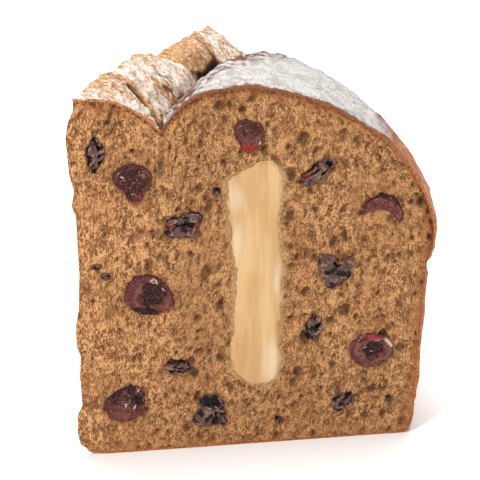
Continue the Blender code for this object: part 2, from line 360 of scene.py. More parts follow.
SIDE = side_outline()
SIDE_STEPS = np.hypot(*np.diff(SIDE, axis=0).T)
SIDE_LENGTHS = np.concatenate([[0.0], np.cumsum(SIDE_STEPS)])


def reach(angle, radius):
    """Distance from the thin edge, in the direction of angle, to that radius from the loaf's axis."""
    toward = LOAF_AXIS[0] * np.cos(angle) + LOAF_AXIS[1] * np.sin(angle)
    return toward + np.sqrt(toward**2 - LOAF_AXIS[0] ** 2 - LOAF_AXIS[1] ** 2 + radius**2)


def dome_slope(radius):
    """Sideways and upward parts of the dome's outward direction at that radius."""
    step = 0.05 * MM
    rise = (dome_height(radius + step) - dome_height(radius - step)) / (2.0 * step)
    size = np.hypot(rise, 1.0)
    return -rise / size, 1.0 / size


def crust_depth(path):
    """Thickness of the crust's hard skin along the same path: thicker on the dome than below."""
    return np.interp(path, (0.0, 1.4, 1.6, 3.0), (0.7, 0.7, 0.5, 0.4)) * MM


def skin_point(angle, path, inset):
    """A point of the wedge's baked skin, or of a layer that lies inset under it.

    angle runs from 0 at the front cut to WEDGE_ANGLE at the back cut. path runs from 0 at
    the thin edge over the top to 1 at the shoulder, down the side to 2 at the foot, and
    under the base back to 3 at the thin edge.
    """
    angle, path, inset = np.broadcast_arrays(angle, path, inset)
    over = np.clip(path, 0.0, 1.0)
    distance = over * reach(angle, SHOULDER_RADIUS)
    x = distance * np.cos(angle)
    y = distance * np.sin(angle)
    radius = np.hypot(x - LOAF_AXIS[0], y - LOAF_AXIS[1])
    outward, upward = dome_slope(radius)
    height = slash(x, y)[0] - inset * upward
    distance = np.maximum(distance - inset * outward, 0.0)

    down = np.clip(path - 1.0, 0.0, 1.0) * SIDE_LENGTHS[-1]
    side_radius = np.interp(down, SIDE_LENGTHS, SIDE[:, 0])
    side_height = np.interp(down, SIDE_LENGTHS, SIDE[:, 1])
    lean = np.gradient(SIDE, SIDE_LENGTHS, axis=0)
    lean_out = np.interp(down, SIDE_LENGTHS, -lean[:, 1])
    lean_up = np.interp(down, SIDE_LENGTHS, lean[:, 0])
    size = np.hypot(lean_out, lean_up)
    side_distance = reach(angle, side_radius - inset * lean_out / size)
    side_height = side_height - inset * lean_up / size
    on_side = path > 1.0
    distance = np.where(on_side, side_distance, distance)
    height = np.where(on_side, side_height, height)

    under = np.clip(3.0 - path, 0.0, 1.0)
    foot_radius = SIDE[-1, 0]
    below = path > 2.0
    distance = np.where(below, under * reach(angle, foot_radius), distance)
    height = np.where(below, inset, height)
    return np.stack([distance * np.cos(angle), distance * np.sin(angle), height], axis=-1)


def hidden_sink(path):
    """How far a hidden skin sinks in between the cuts: as far as the nearer cut is, to 7 mm."""
    out = np.clip(np.minimum(path, 3.0 - path), 0.0, 1.0) * SHOULDER_RADIUS
    turn = np.minimum(HIDDEN_TURNS, WEDGE_ANGLE - HIDDEN_TURNS)
    return np.minimum(out * np.sin(turn), 7.0 * MM)


# The thin edge as the knife left it: heights, and how far out of true it stands at each.
EDGE_LINE = (
    (
        0.0, 2.0, 4.0, 8.0, 14.0, 17.5, 27.0, 34.0, 38.0, 44.0, 50.0,
        61.0, 79.0, 82.5, 87.0, 92.0, 103.0, 108.0, 111.0, 114.0, 115.5,
    ),
    (
        -1.2, -0.4, 1.5, 2.3, 2.1, 0.3, 0.7, 0.2, 1.4, 1.3, 0.1,
        -0.5, -0.2, 1.0, 0.0, 1.3, 2.0, 1.0, -0.6, -0.8, 0.0,
    ),
)
EDGE_FADE = 4.5 * MM
LOAF_BULGE = 1.1 * MM
FOOT_LIFT = 1.2 * MM
FOOT_FADE = 2.5 * MM


def hand_cut(points):
    """Moves points as the knife and the oven left them: a wavering edge, a loaf out of round.

    Near the thin edge a point moves out by EDGE_LINE at its height, which fades away from
    that edge by an exponential, and its foot lifts in the same way. Between the cuts, and
    far from that edge, the loaf bulges by half an ellipse.
    """
    distance = np.hypot(points[..., 0], points[..., 1])
    turn = np.clip(np.arctan2(points[..., 1], points[..., 0]) / WEDGE_ANGLE, 0.0, 1.0)
    out = station(EDGE_LINE, points[..., 2]) * np.exp(-distance / EDGE_FADE)
    bulge = LOAF_BULGE * np.sqrt(4.0 * turn * (1.0 - turn)) * ramp(60.0, 100.0, distance)
    middle = WEDGE_ANGLE / 2
    moved = points.copy()
    moved[..., 0] += bulge * np.cos(turn * WEDGE_ANGLE) - out * math.cos(middle)
    moved[..., 1] += bulge * np.sin(turn * WEDGE_ANGLE)
    moved[..., 1] -= out * math.sin(middle) * np.minimum(distance / (4.0 * MM), 1.0)
    lift = FOOT_LIFT * np.exp(-distance / FOOT_FADE)
    moved[..., 2] += lift * drop(0.0, 4.0, points[..., 2])
    return moved


def patch(left, right, bottom, top):
    """Fills four edges that meet at the corners with a grid, by the Coons rule.

    Each point is the blend of the left and right edges, plus the blend of the bottom and
    top ones, less the blend of the four corners.
    """
    across = np.linspace(0.0, 1.0, len(bottom))[None, :, None]
    up = np.linspace(0.0, 1.0, len(left))[:, None, None]
    sides = (1.0 - across) * left[:, None] + across * right[:, None]
    ends = (1.0 - up) * bottom[None] + up * top[None]
    corners = (1.0 - up) * ((1.0 - across) * bottom[0] + across * bottom[-1])
    corners = corners + up * ((1.0 - across) * top[0] + across * top[-1])
    return sides + ends - corners


def grid_faces(rows, columns, start, flip=False):
    """The four-sided faces of a grid of points, numbered row by row from start."""
    first = start + np.arange(rows - 1)[:, None] * columns + np.arange(columns - 1)[None]
    ring = [first, first + 1, first + columns + 1, first + columns]
    if flip:
        ring.reverse()
    return np.stack(ring, axis=-1).reshape(-1, 4)


# Sewing: how near two points are to become one, how short an edge is to vanish, and how
# far a surface turns before its edge shows sharp.
WELD_GAP = 2e-6
SHORTEST_EDGE = 1e-7
SHARP_TURN = math.radians(62)


def sewn_piece(name, sheets):
    """Makes one closed object of several grids whose edges coincide, and sews the edges.

    Each sheet is (points, flip, values): a grid of points, whether its faces turn over,
    and a dictionary of numbers for each point, which become the mesh's attributes.
    """
    points, faces, values = [], [], {}
    names = sorted({key for sheet in sheets for key in sheet[2]})
    count = 0
    for grid, flip, extra in sheets:
        faces.append(grid_faces(grid.shape[0], grid.shape[1], count, flip))
        points.append(grid.reshape(-1, 3))
        for key in names:
            given = np.broadcast_to(extra.get(key, 0.0), grid.shape[:2]).reshape(-1)
            values.setdefault(key, []).append(given)
        count += grid.shape[0] * grid.shape[1]
    points = np.vstack(points) + THIN_EDGE
    faces = np.vstack(faces)
    mesh = bpy.data.meshes.new(name)
    mesh.vertices.add(count)
    mesh.vertices.foreach_set("co", points.astype(np.float32).ravel())
    mesh.loops.add(faces.size)
    mesh.loops.foreach_set("vertex_index", faces.astype(np.int32).ravel())
    mesh.polygons.add(len(faces))
    mesh.polygons.foreach_set("loop_start", np.arange(0, faces.size, 4, dtype=np.int32))
    mesh.update(calc_edges=True)
    for key in names:
        layer = mesh.attributes.new(key, "FLOAT", "POINT")
        layer.data.foreach_set("value", np.concatenate(values[key]).astype(np.float32))
    body = bmesh.new()
    body.from_mesh(mesh)
    bmesh.ops.remove_doubles(body, verts=body.verts, dist=WELD_GAP)
    bmesh.ops.dissolve_degenerate(body, edges=body.edges, dist=SHORTEST_EDGE)
    bmesh.ops.recalc_face_normals(body, faces=body.faces)
    body.to_mesh(mesh)
    body.free()
    mesh.shade_smooth()
    mesh.set_sharp_from_angle(angle=SHARP_TURN)
    made = bpy.data.objects.new(name, mesh)
    bpy.context.scene.collection.objects.link(made)
    return made


def on_cut(back, along, height, out):
    """Places points on the front or the back cut: along it, up it, and out of the bread."""
    turn = WEDGE_ANGLE if back else 0.0
    side = np.array([math.cos(turn), math.sin(turn), 0.0])
    face = np.array([-math.sin(turn), math.cos(turn), 0.0]) * (1.0 if back else -1.0)
    up = np.array([0.0, 0.0, 1.0])
    along, height, out = np.broadcast_arrays(along, height, out)
    return along[..., None] * side + height[..., None] * up + out[..., None] * face


# Fruit that shows at a cut: name, place along and up the cut, half width, half height (all
# in mm), and lean. Then how much the middle of a bent berry arches up, in mm.
FRUIT = {
    False: (
        ("cranberry_1", 50.6, 101.0, 4.2, 4.8, 0.10),
        ("cranberry_2", 17.0, 88.7, 5.3, 5.8, 0.00),
        ("cranberry_3", 20.8, 53.0, 7.0, 6.6, 0.15),
        ("cranberry_4", 88.7, 29.9, 6.8, 5.7, 0.30),
        ("cranberry_5", 12.6, 17.1, 6.1, 6.3, 0.00),
        ("cranberry_6", 91.3, 76.6, 6.2, 2.1, 0.35),
        ("raisin_1", 6.7, 97.8, 2.7, 5.3, 0.05),
        ("raisin_2", 31.0, 74.3, 6.2, 3.8, 0.00),
        ("raisin_3", 71.0, 89.2, 5.6, 3.1, -0.62),
        ("raisin_4", 77.4, 57.5, 4.9, 5.4, 0.00),
        ("raisin_5", 70.4, 38.7, 2.4, 4.4, 0.20),
        ("raisin_6", 29.0, 28.4, 4.1, 2.4, 0.10),
        ("raisin_7", 39.0, 12.1, 5.2, 5.8, 0.30),
        ("raisin_8", 80.0, 12.8, 4.0, 2.6, -0.70),
    ),
    True: (
        ("cranberry_7", 24.0, 30.0, 6.3, 5.8, 0.20),
        ("cranberry_8", 33.0, 79.0, 5.3, 6.1, -0.30),
        ("cranberry_9", 96.0, 66.0, 6.9, 2.6, 0.50),
        ("cranberry_10", 87.0, 22.0, 5.8, 6.1, 0.00),
        ("cranberry_11", 49.0, 102.0, 4.8, 4.4, 0.10),
        ("raisin_9", 14.0, 60.0, 3.1, 5.1, 0.30),
        ("raisin_10", 45.0, 47.0, 6.1, 3.2, -0.40),
        ("raisin_11", 104.0, 37.0, 3.4, 5.3, 0.20),
        ("raisin_12", 83.0, 90.0, 5.6, 3.1, 0.60),
        ("raisin_13", 49.0, 14.0, 4.8, 2.9, -0.15),
        ("raisin_14", 18.0, 96.0, 3.8, 4.3, 0.00),
    ),
}
ARCHES = {"cranberry_6": 4.2, "cranberry_9": 2.6}
# How far out each fruit's outline reaches in eight directions, from the right, turning left.
OUTLINES = {
    "cranberry_1": (1.00, 1.05, 1.05, 1.20, 0.86, 0.75, 0.98, 0.89),
    "cranberry_2": (0.99, 1.04, 1.00, 1.10, 1.02, 0.72, 1.06, 0.86),
    "cranberry_3": (1.00, 0.85, 0.98, 1.04, 1.00, 1.03, 1.00, 1.03),
    "cranberry_4": (0.98, 1.02, 0.98, 1.04, 1.02, 1.02, 1.00, 0.88),
    "cranberry_5": (1.02, 1.08, 0.98, 0.86, 1.02, 1.00, 0.98, 0.97),
    "cranberry_6": (0.98, 1.20, 1.00, 1.32, 0.92, 1.34, 1.00, 1.14),
    "raisin_1": (1.00, 0.90, 0.95, 1.00, 0.90, 1.00, 1.00, 0.80),
    "raisin_2": (0.88, 1.38, 0.93, 0.90, 0.84, 1.12, 0.92, 1.18),
    "raisin_3": (1.05, 1.10, 0.85, 0.95, 1.00, 1.05, 0.95, 0.90),
    "raisin_4": (0.98, 1.05, 0.68, 1.24, 0.93, 1.13, 0.98, 0.88),
    "raisin_7": (1.00, 0.92, 1.00, 1.02, 0.92, 1.05, 0.96, 1.05),
}
PLAIN_OUTLINE = (1.00, 0.96, 1.02, 0.97, 1.00, 1.03, 0.97, 0.98)
# The filling's two edges at a cut: heights, and how far left and right of its middle they lie.
BAND_MIDDLE = {False: 53.0 * MM, True: 67.7 * MM}
BAND_HEIGHTS = (20.0, 20.8, 23.2, 26.8, 33.0, 40.0, 49.7, 59.5, 67.6, 74.0, 81.9, 87.9, 89.3, 91.8, 93.4)
BAND_LEFT = (0.0, -2.4, -5.4, -7.6, -8.2, -7.2, -6.9, -6.6, -8.4, -8.7, -8.9, -9.7, -8.0, -2.3, 2.2)
BAND_RIGHT = (3.0, 4.9, 6.8, 7.8, 7.3, 7.0, 8.0, 8.4, 7.4, 6.9, 8.2, 8.2, 7.8, 6.2, 4.0)


def fruit_outline(turn, name, level):
    """A closed outline through a fruit's eight radii: the sum of their waves round the turn.

    A raisin's outline is ragged as well, by noise round the same turn.
    """
    waves = np.fft.rfft(OUTLINES.get(name, PLAIN_OUTLINE)) / 8.0
    radius = waves[0].real + waves[4].real * np.cos(4.0 * turn)
    for k in (1, 2, 3):
        radius = radius + 2.0 * waves[k].real * np.cos(k * turn)
        radius = radius - 2.0 * waves[k].imag * np.sin(k * turn)
    round_it = np.stack([np.cos(turn), np.sin(turn), 0.0 * turn + level], axis=-1)
    ragged = 0.17 if name.startswith("raisin") else 0.035
    return 1.05 * radius + ragged * (drift(round_it, 0.50, 57) + 0.7 * drift(round_it, 0.20, 58))


def fruit_ring(fruit, along, height):
    """How far out of a fruit's middle a point of its cut lies: 1 on the fruit's outline."""
    name, middle, level, wide, tall, lean = fruit
    arch = ARCHES.get(name, 0.0)
    side = along - middle * MM
    rise = height - level * MM
    across = (side * math.cos(lean) - rise * math.sin(lean)) / (wide * MM)
    up = side * math.sin(lean) + rise * math.cos(lean)
    up = up / (tall * MM) - arch / tall * (0.5 - np.minimum(across**2, 1.5))
    return np.hypot(across, up) / fruit_outline(np.arctan2(up, across), name, level)


def band_margin(back, along, height):
    """How far inside the filling's outline a point of the cut lies, negative outside."""
    heights = np.array(BAND_HEIGHTS) * MM
    left = BAND_MIDDLE[back] + np.interp(height, heights, np.array(BAND_LEFT) * MM)
    right = BAND_MIDDLE[back] + np.interp(height, heights, np.array(BAND_RIGHT) * MM)
    level = np.minimum(height - heights[0], heights[-1] - height)
    return np.minimum(np.minimum(along - left, right - along), level)


# Parts of the front cut that the knife smeared smoother: along, up, half width, half height.
CALM_PATCHES = ((36.0, 48.0, 9.0, 28.0), (30.0, 24.0, 8.0, 8.0), (64.0, 26.0, 7.0, 8.0))
# Cracks that run in from the crust at the front cut: the points that each passes through.
CRACKS = (
    ((12.3, 112.6), (11.4, 110.0), (10.6, 107.6), (9.2, 106.2), (8.4, 105.2), (6.9, 104.4)),
    ((12.4, 105.4), (11.2, 104.2), (9.9, 103.4)),
)
# Burnt pits just under the crust at the front cut: along and up, half width and height.
BURNT_PITS = (
    (102.3, 78.3, 1.0, 1.7), (104.4, 74.8, 0.7, 1.2), (105.3, 66.6, 0.7, 1.2), (17.0, 98.5, 0.7, 0.8),
    (100.7, 80.6, 0.6, 0.7), (105.5, 71.6, 0.6, 0.8), (103.6, 51.7, 0.5, 0.9), (102.4, 34.7, 0.5, 1.1),
)
# What each thing at a cut does to the crumb round it. Its hollow: how deep, in mm, and where
# it starts and ends. Its darkening, a stain round shreds and at the burnt pits and painted
# shade round fruit and in cracks: how dark, and where it starts and ends. The places are in
# shares of the thing's own size, or in mm from a crack.
FRUIT_DENT = (3.2, 0.66, 0.93, 0.40, 0.98, 1.25)
SHRED_DENT = (1.3, 0.50, 0.80, 0.80, 0.80, 1.50)
BURNT_DENT = (0.9, 0.40, 1.00, 1.00, 0.60, 1.20)
CRACK_DENT = (0.7, 0.10, 0.60, 0.60, 0.10, 1.10)
BAND_HOLLOW = 3.0 * MM
# Bubbles in the crumb: the size of their lattice, the share of its cells that hold one, and
# their seed. Toward the thin edge the two larger kinds are shallower.
WIDE_BUBBLES = (3.4 * MM, 0.13, 11)
MIDDLING_BUBBLES = (2.1 * MM, 0.16, 12)
SMALL_BUBBLES = (1.25 * MM, 0.42, 13)
# Heights between which the rim rolls out over the wall.
ROLLED_RIM = (58.0, 66.0)
# How deep the top of the crumb is baked brown: places along the cut, and depths.
BAKED_DEPTHS = ((0.0, 18.0, 26.0, 60.0, 100.0), (3.0, 3.2, 3.0, 3.2, 3.0))
# Shreds of raisin in the crumb: along and up the cut, half width and half height.
SHREDS = {
    False: (
        (60.5, 7.6, 1.3, 1.4), (41.3, 84.6, 1.3, 1.4), (5.7, 63.0, 1.4, 1.0), (8.5, 59.6, 1.5, 1.3),
        (89.1, 16.6, 1.3, 1.1), (94.7, 12.7, 1.0, 1.4),
    ),
    True: ((37.0, 60.0, 1.4, 1.1), (79.5, 44.0, 1.2, 1.5), (53.0, 84.0, 1.3, 1.0), (29.0, 12.0, 1.4, 1.2)),
}


def oval(along, up, place):
    """How far out of an oval a point lies, 1 on its outline: its middle and half sizes in mm."""
    middle, level, wide, tall = place
    return np.hypot((along / MM - middle) / wide, (up / MM - level) / tall)


def near_line(across, up, points):
    """Distance from each place to the nearest stretch of a line through the points, in mm."""
    nearest = np.full(np.shape(across), np.inf)
    for (x0, y0), (x1, y1) in zip(points[:-1], points[1:]):
        length = (x1 - x0) ** 2 + (y1 - y0) ** 2
        share = ((across / MM - x0) * (x1 - x0) + (up / MM - y0) * (y1 - y0)) / length
        share = np.clip(share, 0.0, 1.0)
        gap = np.hypot(across / MM - x0 - share * (x1 - x0), up / MM - y0 - share * (y1 - y0))
        nearest = np.minimum(nearest, gap)
    return nearest


def crumb_face(back):
    """The crumb's face at one cut, a grid from the thin edge to the crust, with its bubbles.

    The four edges lie a crust's thickness under the skin. Depth is the greatest of wide,
    middling and small bubbles, stretched a little upward, with soft swells, and a hollow
    behind each fruit and behind the filling. It fades out at the edges of the face. The
    crumb is baked brown by its distance from the top, the side and the base, deepest
    under the rolled rim. Beside the grid are the numbers that its material reads.
    """
    angle = WEDGE_ANGLE if back else 0.0
    step_up = np.linspace(0.0, 1.0, CRUMB_UP)
    step_across = np.linspace(0.0, 1.0, CRUMB_ACROSS)
    top = skin_point(angle, step_across, crust_depth(step_across))
    right = skin_point(angle, 2.0 - step_up, crust_depth(2.0 - step_up))
    bottom = skin_point(angle, 3.0 - step_across, crust_depth(3.0))
    top[-1] = right[-1]
    bottom[-1] = right[0]
    left = bottom[0] + (top[0] - bottom[0]) * step_up[:, None]
    flat = patch(left, right, bottom, top)
    along = flat[..., 0] * math.cos(angle) + flat[..., 1] * math.sin(angle)
    height = flat[..., 2]
    swirl = np.stack([drift(flat, 2.2 * MM, k) for k in (31, 32, 33)], axis=-1)
    spots = flat * np.array([1.0, 1.0, 0.75]) + 0.6 * MM * swirl
    grown = ramp(6.0, 34.0, along)
    wide = bubbles(spots, *WIDE_BUBBLES) * (0.35 + 0.65 * grown)
    middling = bubbles(spots, *MIDDLING_BUBBLES) * (0.6 + 0.4 * grown)
    small = bubbles(spots, *SMALL_BUBBLES)
    pit = np.maximum(np.maximum(0.70 * wide, 0.9 * middling), 1.1 * small)
    from_top = (1.0 - step_up)[:, None] * FACE_HEIGHT * MM
    from_side = (1.0 - step_across)[None] * FACE_LENGTH * MM
    from_base = step_up[:, None] * FACE_HEIGHT * MM
    edge = np.minimum(np.minimum(from_top, from_base), from_side)
    thick = np.interp(along / MM, *BAKED_DEPTHS) * MM
    uneven = layers(flat, (0.35, 2.2, 20), (0.30, 0.9, 21))
    rolled = ramp(*ROLLED_RIM, height)
    side_depth = (4.0 + 1.5 * rolled) * MM
    baked = 1.0 - (from_top + uneven) / thick
    baked = np.maximum(baked, (0.55 + 0.35 * rolled) * (1.0 - (from_side + uneven) / side_depth))
    baked = np.maximum(baked, 0.4 - 0.4 * (from_base + uneven) / (2.0 * MM))
    inside = ramp(0.0, 1.0, edge) * ramp(0.0, 0.8, along)
    swell = layers(flat, (0.25, 9.0, 14), (0.16, 3.0, 15))
    strands = flat * np.array([1.0, 1.0, 0.55]) + 0.5 * MM * swirl
    rise = 0.75 * drift(strands, 0.80 * MM, 16) + 0.35 * drift(spots, 1.5 * MM, 18)
    rough = 0.42 * MM * rise
    dents = [(fruit_ring(fruit, along, height), FRUIT_DENT) for fruit in FRUIT[back]]
    dents += [(oval(along, height, place), SHRED_DENT) for place in SHREDS[back]]
    calm = np.zeros(along.shape)
    if not back:
        ragged = 0.25 * drift(spots, 0.9 * MM, 10)
        dents += [(oval(along, height, place) + ragged, BURNT_DENT) for place in BURNT_PITS]
        ragged = 0.45 * drift(spots, 1.2 * MM, 19)
        dents += [(near_line(along, height, crack) + ragged, CRACK_DENT) for crack in CRACKS]
        calm = np.maximum.reduce([fall(0.6, 1.3, oval(along, height, place)) for place in CALM_PATCHES])
    hollow = np.zeros(along.shape)
    # Stain round shreds and burnt pits, and painted shade round fruit and in cracks.
    stain = np.zeros(along.shape)
    for ring, (depth, start, end, dark, darken_start, darken_end) in dents:
        hollow = np.maximum(hollow, depth * MM * fall(start, end, ring))
        stain = np.maximum(stain, dark * fall(darken_start, darken_end, ring))
    margin = band_margin(back, along, height)
    hollow = np.maximum(hollow, BAND_HOLLOW * ramp(0.8, 2.4, margin))
    cream = ramp(-1.8, 0.5, margin + 1.0 * MM * drift(flat, 1.5 * MM, 17))
    sunk = 0.08 * MM * drop(0.2, 0.9, edge)
    face = on_cut(back, along, height, (swell + rough - pit) * inside - hollow - sunk)
    values = {
        # How deep the pits are; the material darkens them as painted shade.
        "pit": np.clip(pit / (0.9 * MM), 0.0, 1.0) * inside,
        "rise": rise * inside,
        "rim": drop(0.0, 6.0, edge),
        "baked": np.clip(baked, 0.0, 1.0),
        "calm": calm,
        "stain": stain,
        "cream": cream,
        "pull": drop(8.0, 34.0, along),
    }
    return face, values


def crumb_piece():
    """The whole crumb: two cut faces, joined over the top, round the side and under the base."""
    front, front_values = crumb_face(False)
    rear, rear_values = crumb_face(True)
    rear[:, 0] = front[:, 0]
    row = np.linspace(0.0, 1.0, CRUMB_ACROSS)[None]
    column = 2.0 - np.linspace(0.0, 1.0, CRUMB_UP)[None]
    over = skin_point(HIDDEN_TURNS, row, crust_depth(row) + hidden_sink(row))
    side = skin_point(HIDDEN_TURNS, column, crust_depth(column) + hidden_sink(column))
    base = skin_point(HIDDEN_TURNS, 3.0 - row, crust_depth(3.0) + hidden_sink(3.0 - row))
    side[0], side[-1] = front[:, -1], rear[:, -1]
    over[0], over[-1] = front[-1], rear[-1]
    base[0], base[-1] = front[0], rear[0]
    over[:, 0], over[:, -1] = front[-1, 0], side[:, -1]
    base[:, 0], base[:, -1] = front[0, 0], side[:, 0]
    hidden = {"rim": 1.0, "baked": 1.0}
    return sewn_piece("crumb", [
        (hand_cut(front), False, front_values),
        (hand_cut(rear), True, rear_values),
        (hand_cut(over), False, hidden),
        (hand_cut(side), False, hidden),
        (hand_cut(base), True, hidden),
    ])


class Tone:
    """A number or a colour that changes over a surface: the output of one of its nodes.

    Tones are added, subtracted and multiplied like numbers, each time by a Math node.
    """

    def __init__(self, socket):
        self.socket = socket
        self.tree = socket.id_data

    def __add__(self, other):
        return node(self.tree, "Math", {0: self, 1: other}, operation="ADD")

    def __sub__(self, other):
        return node(self.tree, "Math", {0: self, 1: other}, operation="SUBTRACT")

    def __rsub__(self, other):
        return node(self.tree, "Math", {0: other, 1: self}, operation="SUBTRACT")

    def __mul__(self, other):
        return node(self.tree, "Math", {0: self, 1: other}, operation="MULTIPLY")

    def __abs__(self):
        return node(self.tree, "Math", {0: self, 1: 0.0}, operation="ABSOLUTE")

    def shift(self, low, high, to_low=0.0, to_high=1.0):
        """Maps low..high smoothly to to_low..to_high, held at both ends."""
        feeds = dict(enumerate((self, low, high, to_low, to_high)))
        return node(self.tree, "MapRange", feeds, interpolation_type="SMOOTHSTEP")


def feed(socket, value):
    """Links a tone to the socket, or sets the socket to a plain number, vector or colour."""
    if isinstance(value, Tone):
        socket.id_data.links.new(value.socket, socket)
    else:
        socket.default_value = (*value, 1.0) if socket.type == "RGBA" else value


def node(tree, kind, feeds, output=0, **settings):
    """Adds a node of that kind with its settings, feeds its inputs, and returns one output."""
    made = tree.nodes.new("ShaderNode" + kind)
    for key, value in settings.items():
        setattr(made, key, value)
    for key, value in feeds.items():
        feed(made.inputs[key], value)
    return Tone(made.outputs[output])


def texture(tree, kind, scale, stretch=(1.0, 1.0, 1.0), turn_back=False, **settings):
    """Adds a noise or cell texture on the object's own coordinates, scaled along each axis.

    With turn_back, the texture lies along the back cut, and the scales draw it out instead.
    """
    place = {"Vector": node(tree, "TexCoord", {}, "Object"), "Scale": stretch}
    if turn_back:
        place["Rotation"] = (0.0, 0.0, WEDGE_ANGLE)
    turned = node(tree, "Mapping", place, vector_type="TEXTURE" if turn_back else "POINT")
    output = "Distance" if kind == "Voronoi" else "Fac"
    return node(tree, "Tex" + kind, {"Vector": turned, "Scale": scale, **settings}, output)


def attribute(tree, name):
    """The value that the mesh carries under that name."""
    return node(tree, "Attribute", {}, "Fac", attribute_name=name)


def mixed(share, one, two):
    """Mixes two numbers by share."""
    return node(share.tree, "Mix", {0: share, 2: one, 3: two})


def blend(share, one, two):
    """Mixes two colours by share."""
    return node(share.tree, "Mix", {0: share, 6: one, 7: two}, 2, data_type="RGBA")


def coats(colour, *over):
    """Lays coats of colour over a first one: each is how much of it shows, and its colour."""
    for share, coat in over:
        colour = blend(share, colour, coat)
    return colour


def emboss(shader, *bumps):
    """Adds bumps to the shader, one over another: each is a height and how deep it is."""
    under = {}
    for height, depth in bumps:
        feeds = {"Strength": 1.0, "Distance": depth, "Height": height, **under}
        under = {"Normal": node(shader.id_data, "Bump", feeds)}
    feed(shader.inputs["Normal"], under["Normal"])


def crumb_material():
    """Sponge: golden strands over brown gaps, baked and specked near the crust, with painted shade in its
    pores, pits and low places.

    Near the thin edge, where the knife pulled the crumb, its strands are longer and
    sharper, and its pits and its baking show less.
    """
    made, tree, shader = matt_material("crumb_sponge", (0.5, 0.25, 0.1), 0.85, 0.25)
    pull = attribute(tree, "pull")
    upright = (1.0, 1.0, 0.6)
    strand = texture(tree, "Noise", 2150.0, upright, Detail=3.0, Roughness=0.70, Distortion=0.9)
    drawn = texture(tree, "Noise", 2000.0, (1.0, 1.0, 0.40), Detail=3.0, Distortion=0.7)
    strand = mixed(pull * 0.55, strand, drawn)
    pore = texture(tree, "Voronoi", 1500.0, upright, Randomness=1.0)
    patchy = texture(tree, "Noise", 260.0, upright, Detail=2.0)
    broad = texture(tree, "Noise", 60.0, Detail=2.0)
    risen = attribute(tree, "rise") * 0.13
    sharper = (strand - 0.52) * pull * 0.45
    # The golden walls and the pores' darkness follow the relief's rise, so its low places are darker, as
    # painted shade.
    wall = (strand + risen + sharper).shift(0.43, 0.575)
    wall = mixed(attribute(tree, "calm") * 0.22, wall, 0.50)
    open_pore = pore + patchy.shift(0.36, 0.60, 0.00, 0.19) + risen
    baking = attribute(tree, "baked")
    baked = baking + strand.shift(0.35, 0.65, 0.16, -0.16)
    colour = coats(
        CRUMB_BROWN,
        (wall, CRUMB_GOLD),
        (broad.shift(0.40, 0.62, 0.0, 0.28), CRUMB_WARM),
        # Painted shade in the pores and in the bubbles' pits.
        (open_pore.shift(0.12, 0.46, 0.90, 0.0), CRUMB_PORE_SHADE_AND_SPECK),
        (attribute(tree, "pit").shift(0.05, 1.05) * (0.68 - pull * 0.28), CRUMB_PORE_SHADE_AND_SPECK),
        (attribute(tree, "rim") * strand.shift(0.35, 0.6, 0.75, 0.20), CRUMB_BAKED),
        (baked.shift(0.05, 0.55, 0.0, 0.80 - pull * 0.50), CRUST_CUT),
        (baked.shift(0.58, 0.95, 0.0, 0.95 - pull * 0.75), CRUST_EDGE),
        (baking.shift(0.25, 0.75) * strand.shift(0.43, 0.53, 0.95, 0.0), CRUMB_PORE_SHADE_AND_SPECK),
        # Stain, and painted shade round fruit and in cracks.
        (attribute(tree, "stain") * 0.90, CRUMB_STAIN_AND_SHADE),
        (attribute(tree, "cream") * strand.shift(0.35, 0.6, 0.55, 1.0), CRUMB_CREAM),
    )
    feed(shader.inputs["Base Color"], colour)
    emboss(shader, (open_pore, 0.5 * MM), (strand, 0.9 * MM))
    return made


crumb = crumb_piece()
crumb.data.materials.append(crumb_material())
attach(crumb, "root")
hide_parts("bread")

# ---------------------------------------------------------------------------------
# The crust: the baked skin over the dome, rim, wall and base, one shell round the crumb.
# Under the knife slash it tore as the loaf rose: fibrous golden blocks stand up beside
# a valley, and the flap beyond it is dark brown. Icing sugar was sifted over the top.
# ---------------------------------------------------------------------------------
CRUST_TURNS = 186
CRUST_TOP = (170, 88)
CRUST_SIDE = 116
CRUST_BASE = 14
# Along the skin's path: where the finer columns end, where the wall's colour and its grain
# begin, where the sugar ends, and where the swelling ends above the foot.
FINE_END = 0.62
WALL_COLOUR = (0.84, 1.04)
WALL_GRAIN = (1.5, 1.65)
SUGAR_END = 1.35
SWELL_END = (1.95, 2.02)
CRUST_TORN = (0.57, 0.325, 0.145)
CRUST_TAN = (0.335, 0.165, 0.070)
CRUST_BROWN = (0.30, 0.105, 0.042)
# Dark brown of the crust's mottle and grain, also used for its painted shade.
CRUST_DARK_AND_SHADE = (0.075, 0.020, 0.009)
# Near-black painted shade in the deepest creases and the cave.
CRUST_SHADE_BLACK = (0.014, 0.006, 0.005)
CRUST_WALL = (0.68, 0.240, 0.075)
CRUST_PORE = (0.09, 0.012, 0.006)
SUGAR_WHITE = (0.545, 0.52, 0.495)
SUGAR_GREY = (0.40, 0.38, 0.365)
SUGAR_VEIL = (0.235, 0.205, 0.19)
SUGAR_WARM = (0.72, 0.645, 0.575)
# How dark the painted shade in each tear is.
TEAR_SHADE = (0.85, 0.30, 0.95)
# Lines on the torn ridge, along and across: where its sugar was knocked off, two small
# cracks, and the slit where the valley runs out at the front cut, both darkened with painted shade.
BARE_PATCH = ((27.0, 10.6), (29.5, 12.6))
SMALL_CRACKS = (((30.7, 9.2), (32.8, 11.2)), ((29.4, 11.6), (31.2, 13.2), (30.0, 15.2)))
SLIT = ((16.6, 19.4), (19.5, 17.6), (21.5, 16.2))


def ridge_fibres(points, along, across, drawn_out, drawn_up):
    """Places for a noise that is drawn out across the ridge and up it, in wavering strands."""
    bend = 1.2 * MM * drift(points, 6.0 * MM, 21)
    return np.stack([along + bend, across * drawn_out, points[..., 2] * drawn_up], axis=-1)


